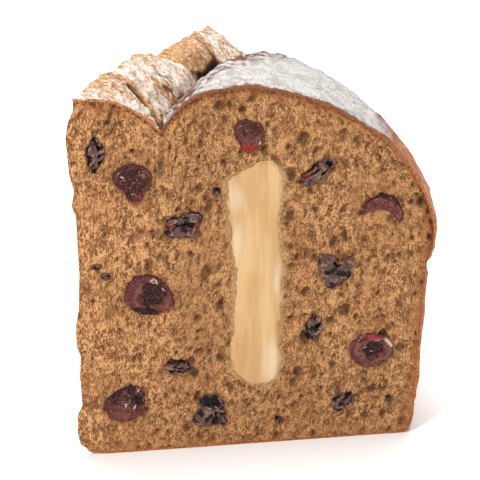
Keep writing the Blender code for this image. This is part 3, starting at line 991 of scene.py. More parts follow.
def crust_relief(points, path):
    """How far the crust swells out of its smooth skin, and how torn it is, 0 to 1.

    The torn ridge carries fibres: noise drawn out across the ridge, over soft lumps.
    The flap and rim carry low wrinkles, and the wall a coarser grain.
    """
    x, y = points[..., 0], points[..., 1]
    along, across = along_and_across(x, y)
    torn = np.where(path < 1.0, slash(x, y)[1], 0.0)
    strands = ridge_fibres(points, along, across, 0.22, 0.25)
    fibre = layers(strands, (0.42, 1.25, 22), (0.20, 0.6, 23))
    lumps = layers(points, (0.55, 3.6, 24))
    pricks = bubbles(points, 2.6 * MM, 0.30, 25)
    wrinkles = layers(points, (0.42, 6.5, 26), (0.14, 1.7, 27))
    wrinkles = wrinkles - 0.35 * bubbles(points, 3.0 * MM, 0.14, 28)
    wall = layers(points, (0.85, 6.5, 29), (0.34, 2.1, 30))
    low = ease(*WALL_GRAIN, path)
    smooth = wrinkles * (1.0 - low) + wall * low
    swell = torn * (fibre + lumps - 0.5 * pricks) + (1.0 - torn) * smooth
    return swell * fall(*SWELL_END, path), torn


def third_block(along, across, ragged):
    """Which points lie on the ridge's third block, between its second and third tears."""
    after = ramp(0.0, 1.2, past_tear(TEARS[1], along, across, ragged))
    before = drop(-0.6, 0.6, past_tear(TEARS[2], along, across, ragged))
    shelf = ramp(9.0, 10.5, across) * drop(46.0, 49.0, along)
    return after * before * (1.0 - shelf)


def crust_sugar(points, path, torn, upward):
    """How much icing sugar lies at each point: thick on the flap, streaky on the ridge.

    It was knocked off along the cuts, is gone down the rim, from the walls of the tears
    and from the ridge's crest, and is patchy on the flap beside the valley. Just behind the
    front cut the ridge keeps a white band. It slides off steep places, by the upward part
    of the outward direction.
    """
    x, y = points[..., 0], points[..., 1]
    along, across = along_and_across(x, y)
    ragged = torn_edge(x, y)
    radius = np.hypot(x - LOAF_AXIS[0], y - LOAF_AXIS[1])
    clouds = drift(points, 9.0 * MM, 41)
    specks = drift(points, 1.3 * MM, 44)
    on_flap = 1.20 - 0.08 * ease(0.0, 0.6, clouds) - 0.95 * ramp(82.0, 95.0, radius)
    far = ramp(8.0, 20.0, y + 3.0 * MM * clouds)
    on_flap = on_flap - 0.10 * far * ramp(52.0, 78.0, radius)
    from_cut = y + 1.2 * MM * specks
    on_flap = on_flap - 0.45 * drop(0.0, 3.5, from_cut) - 0.4 * drop(0.0, 1.0, from_cut)
    valley = station(VALLEY_LINE, along)
    beside = (across - valley + 2.0 * MM * clouds) / (1.0 + 0.4 * ramp(24.0, 38.0, along))
    beside = drop(4.5, 14.5, beside)
    on_flap = on_flap - beside * (0.38 + 1.05 * specks + 0.22 * ramp(44.0, 52.0, along))
    strands = ridge_fibres(points, along, across, 0.20, 0.20)
    streak = 0.5 * drift(strands, 0.70 * MM, 42) + 0.5 * drift(strands, 1.6 * MM, 43)
    third = third_block(along, across, ragged) * (0.66 - 0.25 * ramp(50.0, 56.0, along))
    on_ridge = 0.98 + 0.08 * clouds + 0.62 * streak - third
    on_ridge = on_ridge - 0.40 * drop(14.0, 18.0, along)
    on_ridge = on_ridge + 0.45 * drop(2.0, 5.0, y + 1.0 * MM * clouds)
    crest = drop(0.0, 3.6, across) * ramp(15.0, 19.0, along)
    on_ridge = on_ridge - 0.50 * crest * (0.8 + specks)
    for tear in TEARS:
        wall = (past_tear(tear, along, across, ragged) - 2.2 * MM) / (1.3 * MM)
        on_ridge = on_ridge - 0.9 * np.exp(-(wall**2)) * ramp(1.0, 5.0, across)
    knocked = near_line(along, across, BARE_PATCH) + 0.8 * specks
    on_ridge = on_ridge - 0.45 * fall(0.5, 2.6, knocked)
    sugar = torn * on_ridge + (1.0 - torn) * on_flap
    sugar = sugar - 0.30 * fall(0.10, 0.50, upward)
    return np.where(path < SUGAR_END, np.clip(sugar, -0.2, 1.2), -0.5)


def crust_shade(points):
    """How much painted shade darkens the crust, 0 to 1.

    It is painted in the tears, the small cracks, the bottom of the valley, the slit where the
    valley runs out and the cave, and a little on the flap beside the valley.
    """
    x, y = points[..., 0], points[..., 1]
    along, across = along_and_across(x, y)
    ragged = torn_edge(x, y)
    valley = station(VALLEY_LINE, along)
    past_valley = across - valley
    dark = 0.34 * drop(5.0, 15.0, past_valley) * ramp(0.0, 2.0, past_valley)
    for tear, strength in zip(TEARS, TEAR_SHADE):
        crease = past_tear(tear, along, across, ragged) - 0.5 * MM
        crease = np.exp(-np.maximum(crease, -3.0 * crease) ** 2 / (1.7 * MM) ** 2)
        crease = crease * (across < valley) * (0.45 + 0.55 * ramp(0.0, 9.0, across))
        dark = np.maximum(dark, strength * crease)
    for crack in SMALL_CRACKS:
        gap = near_line(along, across, crack) + ragged / MM * 0.3
        dark = np.maximum(dark, 0.50 * fall(0.05, 0.60, gap))
    bottom = np.exp(-((past_valley / (1.2 * MM)) ** 2)) * ramp(20.0, 27.0, along)
    slit = fall(0.05, 0.60, near_line(along, across, SLIT))
    dark = np.maximum(dark, np.maximum(0.45 * bottom, 0.6 * slit))
    middle, side, long, wide, _ = CAVE
    cave = ease(-0.85, -0.35, (across - side + 0.3 * ragged + 0.12 * (along - middle)) / wide)
    cave = cave * np.exp(-(((along - middle - 0.5 * MM) / (1.15 * long)) ** 6))
    beyond = ease(side + 1.2 * wide, side + 2.2 * wide, across)
    return np.clip(np.maximum(dark, 1.1 * cave * (1.0 - beyond)), 0.0, 1.0)


def grid_normals(points):
    """Outward directions of a grid of points, from the cross product of its two steps."""
    down = np.gradient(points, axis=0)
    along = np.gradient(points, axis=1)
    facing = np.cross(along, down)
    size = np.linalg.norm(facing, axis=-1, keepdims=True)
    return facing / np.maximum(size, 1e-12)


def crust_piece():
    """The closed shell: its outer skin, its inner skin a crust's depth within, and the two cuts.

    Rows run round from the front cut to the back cut, and columns along the path from the
    thin edge over the top, down the side and back under the base.
    """
    near, far = CRUST_TOP
    path = np.concatenate([
        np.linspace(0.0, FINE_END, near)[:-1],
        np.linspace(FINE_END, 1.0, far)[:-1],
        np.linspace(1.0, 2.0, CRUST_SIDE)[:-1],
        np.linspace(2.0, 3.0, CRUST_BASE),
    ])[None]
    turns = np.linspace(0.0, WEDGE_ANGLE, CRUST_TURNS)[:, None]
    smooth = skin_point(turns, path, 0.0)
    swell, torn = crust_relief(smooth, path)
    facing = -grid_normals(smooth)
    facing[:, 0] = (0.0, 0.0, 1.0)
    fade = ramp(0.0, 3.0, np.hypot(smooth[..., 0], smooth[..., 1]))[..., None]
    outer = smooth + facing * swell[..., None] * fade
    outer[0, :, 1] = 0.0
    lean = outer[-1] @ np.array([math.sin(WEDGE_ANGLE), -math.cos(WEDGE_ANGLE), 0.0])
    outer[-1, :, 0] -= lean * math.sin(WEDGE_ANGLE)
    outer[-1, :, 1] += lean * math.cos(WEDGE_ANGLE)
    outer[..., 2] = np.maximum(outer[..., 2], 0.0)
    outer[:, 0] = outer[0, 0]
    outer[:, -1] = outer[0, -1]
    upward = -grid_normals(outer)[..., 2]
    # Painted shade in the creases and the cave; sugar is taken away where it lies.
    scorch = np.where(path < 1.0, crust_shade(smooth), 0.0)
    values = {
        "sugar": crust_sugar(smooth, path, torn, upward) - 0.9 * scorch,
        "scorch": scorch,
        "torn": torn,
        "wall": ease(*WALL_COLOUR, path) * np.ones_like(torn),
        "inside": 0.0,
    }
    inner = skin_point(HIDDEN_TURNS, path, crust_depth(path) + 0.25 * MM + 0.8 * hidden_sink(path))
    inner[:, 0] = inner[0, 0]
    inner[:, -1] = inner[0, -1]
    depth = np.linspace(0.0, 1.0, 4)[:, None, None]
    sheets = [(hand_cut(outer), True, values), (hand_cut(inner), False, {"inside": 1.0})]
    for row, flip in ((0, False), (-1, True)):
        strip = outer[row] + (inner[row] - outer[row]) * depth
        cut = {"inside": depth[..., 0], "torn": torn[row], "wall": values["wall"][row]}
        sheets.append((hand_cut(strip), flip, cut))
    return sewn_piece("crust", sheets)


def crust_material():
    """Baked crust under sifted sugar: golden where torn, brown on the dome, orange-brown below."""
    made, tree, shader = matt_material("baked_crust", (0.3, 0.12, 0.05), 0.55, 0.22)
    torn = attribute(tree, "torn")
    inside = attribute(tree, "inside")
    scorch = attribute(tree, "scorch")
    low = attribute(tree, "wall")
    grain = texture(tree, "Noise", 1500.0, Detail=3.0, Roughness=0.7)
    drawn = texture(tree, "Noise", 2100.0, (1.0, 3.4, 2.4), True, Detail=3.0, Roughness=0.65, Distortion=0.6)
    grain = mixed(torn * 0.8, grain, drawn)
    mottle = texture(tree, "Noise", 420.0, Detail=3.0)
    broad = texture(tree, "Noise", 75.0, Detail=2.0)
    specks = texture(tree, "Voronoi", 420.0, Randomness=1.0)
    skin = blend(mottle.shift(0.34, 0.62), CRUST_DARK_AND_SHADE, CRUST_BROWN)
    wall = blend(mottle.shift(0.36, 0.60), CRUST_BROWN, CRUST_WALL)
    skin = coats(skin, (low, wall), (broad.shift(0.42, 0.62, 0.0, 0.5), CRUST_BROWN))
    gold = blend(grain.shift(0.38, 0.60), CRUST_TAN, CRUST_TORN)
    section = blend(low, blend(torn, CRUST_EDGE, CRUMB_BAKED), CRUST_CUT)
    section = blend(grain.shift(0.43, 0.53, 0.62, 0.0), section, CRUST_DARK_AND_SHADE)
    uneven = grain.shift(0.36, 0.64, -1.0, 1.0) * mixed(torn, 0.20, 0.30)
    sugar = attribute(tree, "sugar") + uneven + mottle.shift(0.36, 0.64, -0.12, 0.12)
    veil = sugar.shift(-0.15, 0.35, 0.0, 0.85) - torn - low
    cover = sugar.shift(0.16, mixed(torn, 0.90, 1.10)) * mixed(torn, 0.97, 0.90)
    cover = cover * inside.shift(0.1, 0.9, 1.0, 0.0)
    icing = mottle + broad.shift(0.40, 0.62, -0.10, 0.08)
    icing = blend(icing.shift(0.36, 0.56), SUGAR_GREY, SUGAR_WHITE)
    icing = blend(torn, icing, SUGAR_WARM)
    colour = coats(
        skin,
        (torn, gold),
        (specks.shift(0.10, 0.24, mixed(torn, 0.8, 0.2), 0.0), CRUST_PORE),
        (grain.shift(0.40, 0.58, 0.35, 0.0), CRUST_DARK_AND_SHADE),
        # Painted shade in the tears, cracks, valley, slit and cave.
        (scorch.shift(0.0, 0.7), CRUST_DARK_AND_SHADE),
        (scorch.shift(0.55, 1.0), CRUST_SHADE_BLACK),
        (veil.shift(0.0, 0.85, 0.0, 0.85), SUGAR_VEIL),
        (inside.shift(0.0, 0.06), section),
        (cover, icing),
    )
    feed(shader.inputs["Base Color"], colour)
    feed(shader.inputs["Roughness"], cover.shift(0.0, 0.6, 0.50, 0.95))
    emboss(shader, (grain, 0.35 * MM), (mottle, 0.45 * MM))
    return made


crust = crust_piece()
crust.data.materials.append(crust_material())
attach(crust, "root")
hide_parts("bread")

# ---------------------------------------------------------------------------------
# The filling: a tall band of soft almond cream, piped in a ring round the loaf.
# It runs through the wedge from one cut to the other. The knife smeared each cut end
# smooth and waxy, and a little of it into the crumb beside it.
# ---------------------------------------------------------------------------------
FILLING_LIGHT = (0.62, 0.410, 0.200)
FILLING_CREAM = (0.52, 0.310, 0.135)
FILLING_AMBER = (0.50, 0.265, 0.090)
# Painted highlight on the cut cream.
FILLING_HIGHLIGHT = (0.68, 0.52, 0.35)
BAND_UP = 200
BAND_ACROSS = 46
# Patches of the cut cream, painted highlights and amber: right of its middle, height, half width and half
# height.
HIGHLIGHT_PATCHES = ((-6.0, 82.5, 2.6, 6.0), (-5.6, 69.0, 2.2, 6.5), (4.5, 28.0, 3.0, 9.0), (6.0, 55.0, 1.6, 8.0))
AMBER_PATCHES = ((-5.5, 33.0, 3.2, 12.0), (-1.5, 52.0, 2.6, 10.0), (2.5, 76.0, 2.2, 8.0))


def band_end(back):
    """One cut end of the filling: a grid between its two edges, smeared slightly proud.

    A bulge across and soft upright streaks stand out of the cut, and the border sinks in.
    Beside the grid are the numbers for its painted highlight patches, its amber patches and its border.
    """
    heights = np.array(BAND_HEIGHTS) * MM
    level = np.linspace(heights[0], heights[-1], BAND_UP)
    edges = []
    for offsets, seed in ((BAND_LEFT, 51), (BAND_RIGHT, 52)):
        line = np.interp(level, heights, np.array(offsets) * MM)
        line = np.convolve(np.pad(line, 5, mode="edge"), np.ones(11) / 11.0, mode="valid")
        spots = np.stack([0.0 * level + back, 0.0 * level, level], axis=-1)
        line = line + 0.28 * MM * drift(spots, 2.6 * MM, seed) + 0.12 * MM * drift(spots, 0.9 * MM, seed)
        edges.append(BAND_MIDDLE[back] + line)
    share = np.linspace(0.0, 1.0, BAND_ACROSS)
    along = edges[0][:, None] + (edges[1] - edges[0])[:, None] * share
    height = np.broadcast_to(level[:, None], along.shape)
    spots = np.stack([along, 0.0 * along + 0.05 * back, height * 0.16], axis=-1)
    streak = layers(spots, (0.22, 1.9, 53), (0.10, 0.8, 54))
    lumps = layers(spots * np.array([1.0, 1.0, 4.0]), (0.30, 6.0, 55))
    inset = np.minimum(share, 1.0 - share) * (edges[1] - edges[0])[:, None]
    inset = np.minimum(inset, np.minimum(height - heights[0], heights[-1] - height))
    out = 0.20 * MM + streak + lumps - 0.45 * MM * drop(0.0, 1.4, inset)
    clouds = 0.35 * drift(spots * np.array([1.0, 1.0, 3.0]), 3.0 * MM, 56)
    values = {}
    # The pale patches are painted highlights.
    for name, patches in (("pale", HIGHLIGHT_PATCHES), ("amber", AMBER_PATCHES)):
        value = np.zeros(along.shape)
        for place in patches:
            ring = oval(along - BAND_MIDDLE[back], height, place)
            value = np.maximum(value, fall(0.1, 1.2, ring + clouds))
        values[name] = value
    values["border"] = drop(0.0, 1.3, inset)
    return on_cut(back, along, height, out), values


def filling_piece():
    """Both cut ends, and the four sides swept between them round the loaf's axis."""
    ends = [band_end(False), band_end(True)]
    polar = []
    for end, _ in ends:
        x, y = end[..., 0] - LOAF_AXIS[0], end[..., 1] - LOAF_AXIS[1]
        polar.append(np.stack([np.hypot(x, y), np.arctan2(y, x), end[..., 2]], axis=-1))
    share = np.linspace(0.0, 1.0, 24)[:, None, None]
    sheets = [(ends[0][0], False, ends[0][1]), (ends[1][0], True, ends[1][1])]
    whole = slice(None)
    for rows, columns, flip in ((whole, 0, True), (whole, -1, False), (0, whole, False), (-1, whole, True)):
        swept = polar[0][rows, columns] * (1.0 - share) + polar[1][rows, columns] * share
        x = LOAF_AXIS[0] + swept[..., 0] * np.cos(swept[..., 1])
        y = LOAF_AXIS[1] + swept[..., 0] * np.sin(swept[..., 1])
        sheets.append((np.stack([x, y, swept[..., 2]], axis=-1), flip, {}))
    return sewn_piece("almond_band", sheets)


def filling_material():
    """Waxy cream: upright streaks of pale and amber, painted highlight patches, softly lit through, with a
    dull shine.
    """
    made, tree, shader = matt_material("almond_cream", FILLING_CREAM, 0.42, 0.3)
    streak = texture(tree, "Noise", 260.0, (1.0, 1.0, 0.10), Detail=3.0)
    cloud = texture(tree, "Noise", 75.0, (1.0, 1.0, 0.55), Detail=2.0)
    fine = texture(tree, "Noise", 900.0, Detail=2.0)
    colour = coats(
        FILLING_CREAM,
        (streak.shift(0.36, 0.64), FILLING_LIGHT),
        (cloud.shift(0.50, 0.72, 0.0, 0.35), FILLING_AMBER),
        (attribute(tree, "amber") * 0.55, FILLING_AMBER),
        # Painted highlights on the cut cream.
        (attribute(tree, "pale") * 0.75, FILLING_HIGHLIGHT),
        (attribute(tree, "border") * fine.shift(0.35, 0.62, 0.75, 0.0), CRUMB_WARM),
    )
    feed(shader.inputs["Base Color"], colour)
    shader.inputs["Subsurface Weight"].default_value = 0.25
    shader.inputs["Subsurface Radius"].default_value = (1.0, 0.6, 0.25)
    shader.inputs["Subsurface Scale"].default_value = 1.2 * MM
    emboss(shader, (streak, 0.25 * MM), (fine, 0.05 * MM))
    return made


filling = filling_piece()
filling.data.materials.append(filling_material())
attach(filling, "root")
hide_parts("filling")

# ---------------------------------------------------------------------------------
# The cranberries: sweetened dried berries, cut through by the knife. Each shows firm
# mauve-brown flesh, a dark seedy hollow and a thin glossy skin, and is red where light
# comes through. They sit in the crumb where the dough closed round them.
# ---------------------------------------------------------------------------------
BERRY_FLESH = (0.175, 0.066, 0.054)
BERRY_MAROON = (0.080, 0.016, 0.013)
BERRY_SKIN = (0.050, 0.010, 0.010)
BERRY_DARK = (0.010, 0.004, 0.004)
BERRY_RED = (0.33, 0.017, 0.015)
# Painted highlight on the crests of the folds.
BERRY_FOLD_HIGHLIGHT = (0.30, 0.135, 0.115)
BERRY_SEED = (0.070, 0.028, 0.026)
# Pale flesh shreds and painted wet highlights.
BERRY_PALE_AND_HIGHLIGHT = (0.66, 0.43, 0.33)
FRUIT_RINGS = 44
FRUIT_TURNS = 104
BERRY_BOWL = 3.0 * MM
# What each cut berry shows, in shares of its half sizes, right and up from its middle.
# First, how pale its flesh is. Hollows: middle, half sizes, depth in mm, how dark. Reds:
# middle and size. Shreds of pale flesh and painted wet highlights: middle, half length and turn.
BERRY_LOOKS = {
    "cranberry_1": (
        0.45,
        ((0.05, 0.35, 0.80, 0.50, 0.3, 0.55),),
        ((-0.25, -0.90, 0.62), (0.20, -0.75, 0.35)),
        ((0.80, -0.30, 0.14, 1.2), (-0.55, 0.55, 0.10, 0.2)),
    ),
    "cranberry_2": (
        0.22,
        ((0.00, 0.05, 0.92, 0.95, 0.4, 0.70),),
        ((-0.05, -1.05, 0.22), (0.30, -0.70, 0.12)),
        (
            (-0.66, 0.45, 0.10, 0.7), (-0.48, 0.26, 0.11, -0.5),
            (0.02, 0.02, 0.06, 0.0), (-0.05, -0.55, 0.08, 0.6),
        ),
    ),
    "cranberry_3": (
        0.70,
        # The second of these hollows is painted shade along the berry's bottom edge.
        ((0.17, 0.03, 0.60, 0.76, 1.3, 1.0), (-0.10, -0.95, 1.00, 0.40, 0.3, 1.0)),
        ((0.84, -0.50, 0.28), (0.70, -0.62, 0.24)),
        (
            (0.02, 0.70, 0.17, 0.9), (0.24, 0.70, 0.17, -1.1),
            (0.12, 0.60, 0.13, 0.1), (0.62, 0.30, 0.10, -0.9),
        ),
    ),
    "cranberry_4": (
        1.00,
        ((0.12, 0.05, 0.46, 0.55, 1.3, 1.0), (-0.62, 0.55, 0.34, 0.34, 0.8, 0.75)),
        ((-0.10, 0.85, 0.26), (-0.45, 0.70, 0.18)),
        (
            (0.62, 0.66, 0.30, -0.75), (0.08, 0.62, 0.13, 0.6),
            (-0.28, 0.05, 0.12, 0.8), (0.05, -0.10, 0.07, 0.0),
        ),
    ),
    "cranberry_5": (
        0.40,
        ((0.05, 0.40, 0.98, 0.60, 0.6, 0.85), (0.60, 0.10, 0.35, 0.35, 0.5, 1.0)),
        ((0.10, -0.95, 0.16),),
        (
            (-0.80, 0.62, 0.10, 1.2), (0.05, -0.10, 0.14, 1.2),
            (0.48, -0.18, 0.12, 1.0), (0.62, 0.62, 0.10, 1.2),
        ),
    ),
    "cranberry_6": (
        0.55,
        ((0.05, 0.75, 0.70, 0.35, 0.2, 0.7),),
        ((0.92, -0.10, 0.16),),
        ((-0.42, 0.50, 0.09, 1.0), (-0.25, 0.40, 0.06, 0.3)),
    ),
}
PLAIN_LOOK = (0.6, ((0.05, 0.10, 0.55, 0.60, 1.1, 1.0),), ((0.65, -0.55, 0.40),), ((0.10, 0.68, 0.15, 0.3),))


def fruit_grid():
    """A fruit's rings, as shares of the way out from its middle, and its turns round it."""
    share = np.linspace(0.0, 1.0, FRUIT_RINGS)[:, None]
    turn = np.linspace(0.0, 2.0 * math.pi, FRUIT_TURNS + 1)[None]
    return share, turn


def fruit_sheets(back, fruit, out, depth):
    """A fruit's front and its buried bowl, as two grids of rings from the middle to the outline.

    A ring's point lies at its share of the outline's reach, turned by the fruit's lean and
    arched up in the middle. out is how far each front point stands out of the cut.
    """
    name, middle, level, wide, tall, lean = fruit
    arch = ARCHES.get(name, 0.0)
    share, turn = fruit_grid()
    radius = share * fruit_outline(turn, name, level)
    across = radius * np.cos(turn)
    up = radius * np.sin(turn) * tall * MM + arch * MM * (0.5 - across**2)
    side = across * wide * MM
    along = middle * MM + side * math.cos(lean) + up * math.sin(lean)
    height = level * MM - side * math.sin(lean) + up * math.cos(lean)
    bowl = out[-1] - depth * np.sqrt(np.maximum(1.0 - share**2, 0.0))
    return on_cut(back, along, height, out), on_cut(back, along, height, bowl)


def creases(spots, size, seed, sharp=2.4):
    """Folds in a skin, 0 to 1: crests where a soft noise passes zero."""
    return np.clip(1.0 - sharp * np.abs(drift(spots, size, seed)), 0.0, 1.0)


def closed(out):
    """Gives a fruit's grid one height at its middle, and ends each turn as it began."""
    out[0] = out[0].mean()
    out[:, -1] = out[:, 0]
    return out


def place_fruit(name, sheets, values, material):
    """Sews a fruit's front and bowl into one closed piece that takes its CAD solid's place."""
    made = sewn_piece(name + "_flesh", [(sheets[0], False, values), (sheets[1], True, {"skin": 1.0})])
    made.data.materials.append(material)
    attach(made, "root")
    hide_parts(name)


def berry(back, fruit, number, material):
    """One cut berry: smooth flesh round its seedy hollows, wrinkled into folds, with pale shreds and painted
    wet highlights.

    Folds are the crests of noise turned over at zero, sharpest inside the hollows. The
    smooth flesh carries faint rings that follow the outline. The border sinks into the
    crumb, just inside a thin lip of skin.
    """
    share, turn = fruit_grid()
    across, up = share * np.cos(turn), share * np.sin(turn)
    flesh, hollows, reds, shreds = BERRY_LOOKS.get(fruit[0], PLAIN_LOOK)
    spots = np.stack([across, up, 0.0 * across + 3.7 * number], axis=-1)
    spots = spots + 0.12 * np.stack([drift(spots, 0.5, k) for k in (71, 72, 73)], axis=-1)
    ragged = 0.24 * drift(spots, 0.34, 74) + 0.14 * drift(spots, 0.14, 75)
    dip, sunk, red, pale = (np.zeros(across.shape) for _ in range(4))
    for right, high, wide, tall, depth, dark in hollows:
        ring = np.hypot((across - right) / wide, (up - high) / tall) + ragged
        inside = fall(0.68, 1.08, ring)
        dip = np.maximum(dip, dark * inside)
        sunk = np.maximum(sunk, depth * MM * inside)
    folds = 0.6 * creases(spots, 0.34, 76, 2.6) + 0.5 * creases(spots, 0.16, 77)
    folds = folds * (0.15 + 0.85 * dip)
    rings = np.stack([5.0 * share + 0.6 * ragged, 0.6 * across, 0.6 * up + number], axis=-1)
    rings = drift(rings, 0.45, 78) * (1.0 - dip)
    for right, high, size in reds:
        ring = np.hypot(across - right, up - high) / size + ragged
        red = np.maximum(red, fall(0.35, 1.15, ring))
    # Pale flesh shreds and painted wet highlights.
    for right, high, size, lean in shreds:
        long = (across - right) * math.cos(lean) + (up - high) * math.sin(lean)
        wide = (up - high) * math.cos(lean) - (across - right) * math.sin(lean)
        ring = np.hypot(long / size, wide / (0.35 * size)) + 1.2 * ragged
        pale = np.maximum(pale, fall(0.5, 1.1, ring))
    lip = 0.22 * MM * np.exp(-(((share - 0.90) / 0.06) ** 2))
    out = 0.40 * MM + lip + 0.42 * MM * folds + 0.06 * MM * rings + 0.30 * MM * pale - sunk
    out = closed(out - 1.5 * MM * ease(0.94, 1.0, share) ** 1.5)
    flesh = flesh * (1.2 - 0.95 * ease(0.50, 1.0, share + 0.2 * ragged)) + 0.35 * rings
    values = {
        "dark": dip,
        "flesh": np.clip(flesh, 0.0, 1.0),
        # Fold crests, which the material paints with highlights, or with seeds inside the hollows.
        "fold": np.clip(1.5 * folds - 0.25, 0.0, 1.0),
        "rings": 0.5 + 0.5 * rings,
        "red": red,
        "pale": pale,
        "skin": ease(0.88, 0.98, share + 0.3 * ragged),
    }
    place_fruit(fruit[0], fruit_sheets(back, fruit, out, BERRY_BOWL), values, material)


def threads(noise, width):
    """Thin lines along the places where a noise passes its middle value."""
    return abs(noise - 0.5).shift(0.0, width, 1.0, 0.0)


def berry_material():
    """Dried berry: mauve flesh, near-black seedy hollow, dark skin, red where thin, glossy, with painted
    highlights on its folds and on some of its pale shreds.
    """
    made, tree, shader = matt_material("dried_berry", BERRY_FLESH, 0.32, 0.10)
    fibre = texture(tree, "Noise", 900.0, Detail=3.0, Distortion=1.0)
    fine = texture(tree, "Noise", 1500.0, Detail=2.0)
    dark = attribute(tree, "dark")
    streak = attribute(tree, "rings") + fibre.shift(0.3, 0.7, -0.30, 0.30)
    pale = streak.shift(0.20, 0.72, 0.15, 1.15) * attribute(tree, "flesh")
    crest = attribute(tree, "fold") * fine.shift(0.42, 0.60, 0.1, 1.0)
    crinkle = blend(dark.shift(0.75, 1.0), BERRY_FOLD_HIGHLIGHT, BERRY_SEED)
    colour = coats(
        BERRY_MAROON,
        (pale, BERRY_FLESH),
        (dark * fibre.shift(0.42, 0.66, 1.0, 0.90), BERRY_DARK),
        (attribute(tree, "red") * fibre.shift(0.36, 0.60, 0.45, 1.0), BERRY_RED),
        # Painted highlights on the fold crests and along thin threads.
        (crest.shift(0.22, 0.70, 0.0, 0.95), crinkle),
        (threads(fibre, 0.035) * mixed(dark, 0.60, 0.30), BERRY_FOLD_HIGHLIGHT),
        (attribute(tree, "skin") * 0.6, BERRY_SKIN),
        # Pale flesh shreds and painted wet highlights.
        (attribute(tree, "pale"), BERRY_PALE_AND_HIGHLIGHT),
    )
    feed(shader.inputs["Base Color"], colour)
    feed(shader.inputs["Roughness"], fine.shift(0.35, 0.65, 0.20, 0.40))
    emboss(shader, (fibre, 0.50 * MM), (fine, 0.20 * MM))
    return made


def fruits_of(kind):
    """Every fruit of that kind, each with the cut it shows at."""
    return [(back, fruit) for back in FRUIT for fruit in FRUIT[back] if fruit[0].startswith(kind)]


berry_stuff = berry_material()
for number, (back, fruit) in enumerate(fruits_of("cranberry"), 1):
    berry(back, fruit, number, berry_stuff)

# ---------------------------------------------------------------------------------
# The raisins: small dark dried grapes, wrinkled into sharp folds, with a wet shine.
# The knife dragged them rather than cutting them clean, so they lie crumpled in the
# cut, with a reddish tinge where the skin is thin.
# ---------------------------------------------------------------------------------
RAISIN_BLACK = (0.012, 0.007, 0.007)
RAISIN_BROWN = (0.115, 0.060, 0.048)
# Painted highlight on the crests of the folds.
RAISIN_FOLD_HIGHLIGHT = (0.28, 0.172, 0.148)
RAISIN_RED = (0.22, 0.035, 0.018)
RAISIN_BOWL = 2.6 * MM
FIRST_RAISIN = 12


def raisin_form(number):
    """Heights and looks of one crumpled raisin, on a fruit's grid of rings.

    Broad and small folds are noise turned over at zero, and between them the skin drops
    away into gaps, by the low places of a coarser noise, which the material darkens as painted shade.
    """
    share, turn = fruit_grid()
    across, up = share * np.cos(turn), share * np.sin(turn)
    spots = np.stack([across * 0.8, up, 0.0 * across + 4.1 * number], axis=-1)
    spots = spots + 0.30 * np.stack([drift(spots, 0.7, k) for k in (81, 82, 83)], axis=-1)
    folds = creases(spots, 0.60, 84)
    small = creases(spots, 0.24, 85)
    gaps = ease(0.18, 0.46, drift(spots, 0.30, 88))
    out = 0.45 * MM * (1.0 - share**2) + 0.55 * MM * folds + 0.25 * MM * small
    out = closed(out + 0.15 * MM - 1.1 * MM * gaps - 1.3 * MM * ease(0.88, 1.0, share) ** 1.5)
    values = {
        # Fold crests, which the material paints with highlights.
        "fold": np.clip((0.75 * folds + 0.50 * small - 0.10) * (1.0 - gaps), 0.0, 1.0),
        # Gaps, which the material darkens as painted shade.
        "gap": gaps,
        "red": ease(0.20, 0.60, drift(spots, 0.55, 86)) * ease(0.2, 0.7, share),
    }
    return out, values


def raisin_material():
    """Raisin skin: near black, darkest in the gaps as painted shade, with painted grey-pink highlights on
    the folds, red in places, shiny.
    """
    made, tree, shader = matt_material("raisin_skin", RAISIN_BLACK, 0.28, 0.12)
    fine = texture(tree, "Noise", 1300.0, Detail=3.0)
    cloud = texture(tree, "Noise", 420.0, Detail=2.0)
    crest = attribute(tree, "fold") * fine.shift(0.38, 0.58, 0.25, 1.0)
    colour = coats(
        RAISIN_BLACK,
        (cloud.shift(0.40, 0.62), RAISIN_BROWN),
        (attribute(tree, "red") * cloud.shift(0.36, 0.56, 0.2, 0.8), RAISIN_RED),
        # Painted highlights on the fold crests and along thin threads.
        (crest.shift(0.28, 0.92), RAISIN_FOLD_HIGHLIGHT),
        (threads(cloud, 0.03) * 0.3, RAISIN_FOLD_HIGHLIGHT),
        # Painted shade in the gaps between the folds.
        (attribute(tree, "gap"), RAISIN_BLACK),
    )
    feed(shader.inputs["Base Color"], colour)
    feed(shader.inputs["Roughness"], fine.shift(0.35, 0.65, 0.20, 0.42))
    emboss(shader, (fine, 0.25 * MM))
    return made


raisin_stuff = raisin_material()
for number, (back, fruit) in enumerate(fruits_of("raisin"), FIRST_RAISIN):
    out, values = raisin_form(number)
    place_fruit(fruit[0], fruit_sheets(back, fruit, out, RAISIN_BOWL), values, raisin_stuff)

# ---------------------------------------------------------------------------------
# Shreds of raisin: scraps that broke off in the mixing and are strewn in the crumb.
# Each is a bit of crumpled skin pressed into the cut, dark and a little shiny.
# ---------------------------------------------------------------------------------
SHRED_STEPS = (2, 4)
SHRED_BOWL = 1.2 * MM
FIRST_SHRED = 40


def shred_piece():
    """All the shreds as one piece: each is a raisin's form, thinned out and set in its place.

    Every second ring and every fourth turn of the raisin's grid are kept, and its outline.
    """
    sheets = []
    rings, turns = SHRED_STEPS
    for back in (False, True):
        for place in SHREDS[back]:
            out, values = raisin_form(FIRST_SHRED + len(sheets))
            fruit = (f"raisin_shred_{len(sheets)}", *place, 0.0)
            halves = fruit_sheets(back, fruit, 0.5 * out - 0.3 * MM, SHRED_BOWL)
            for sheet, flip in zip(halves, (False, True)):
                thin = sheet[::rings, ::turns]
                thin[-1] = sheet[-1, ::turns]
                extra = {key: value[::rings, ::turns] for key, value in values.items()}
                sheets.append((thin, flip, extra))
    return sewn_piece("raisin_shreds", sheets)


shreds = shred_piece()
shreds.data.materials.append(raisin_stuff)
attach(shreds, "root")
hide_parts("bread")

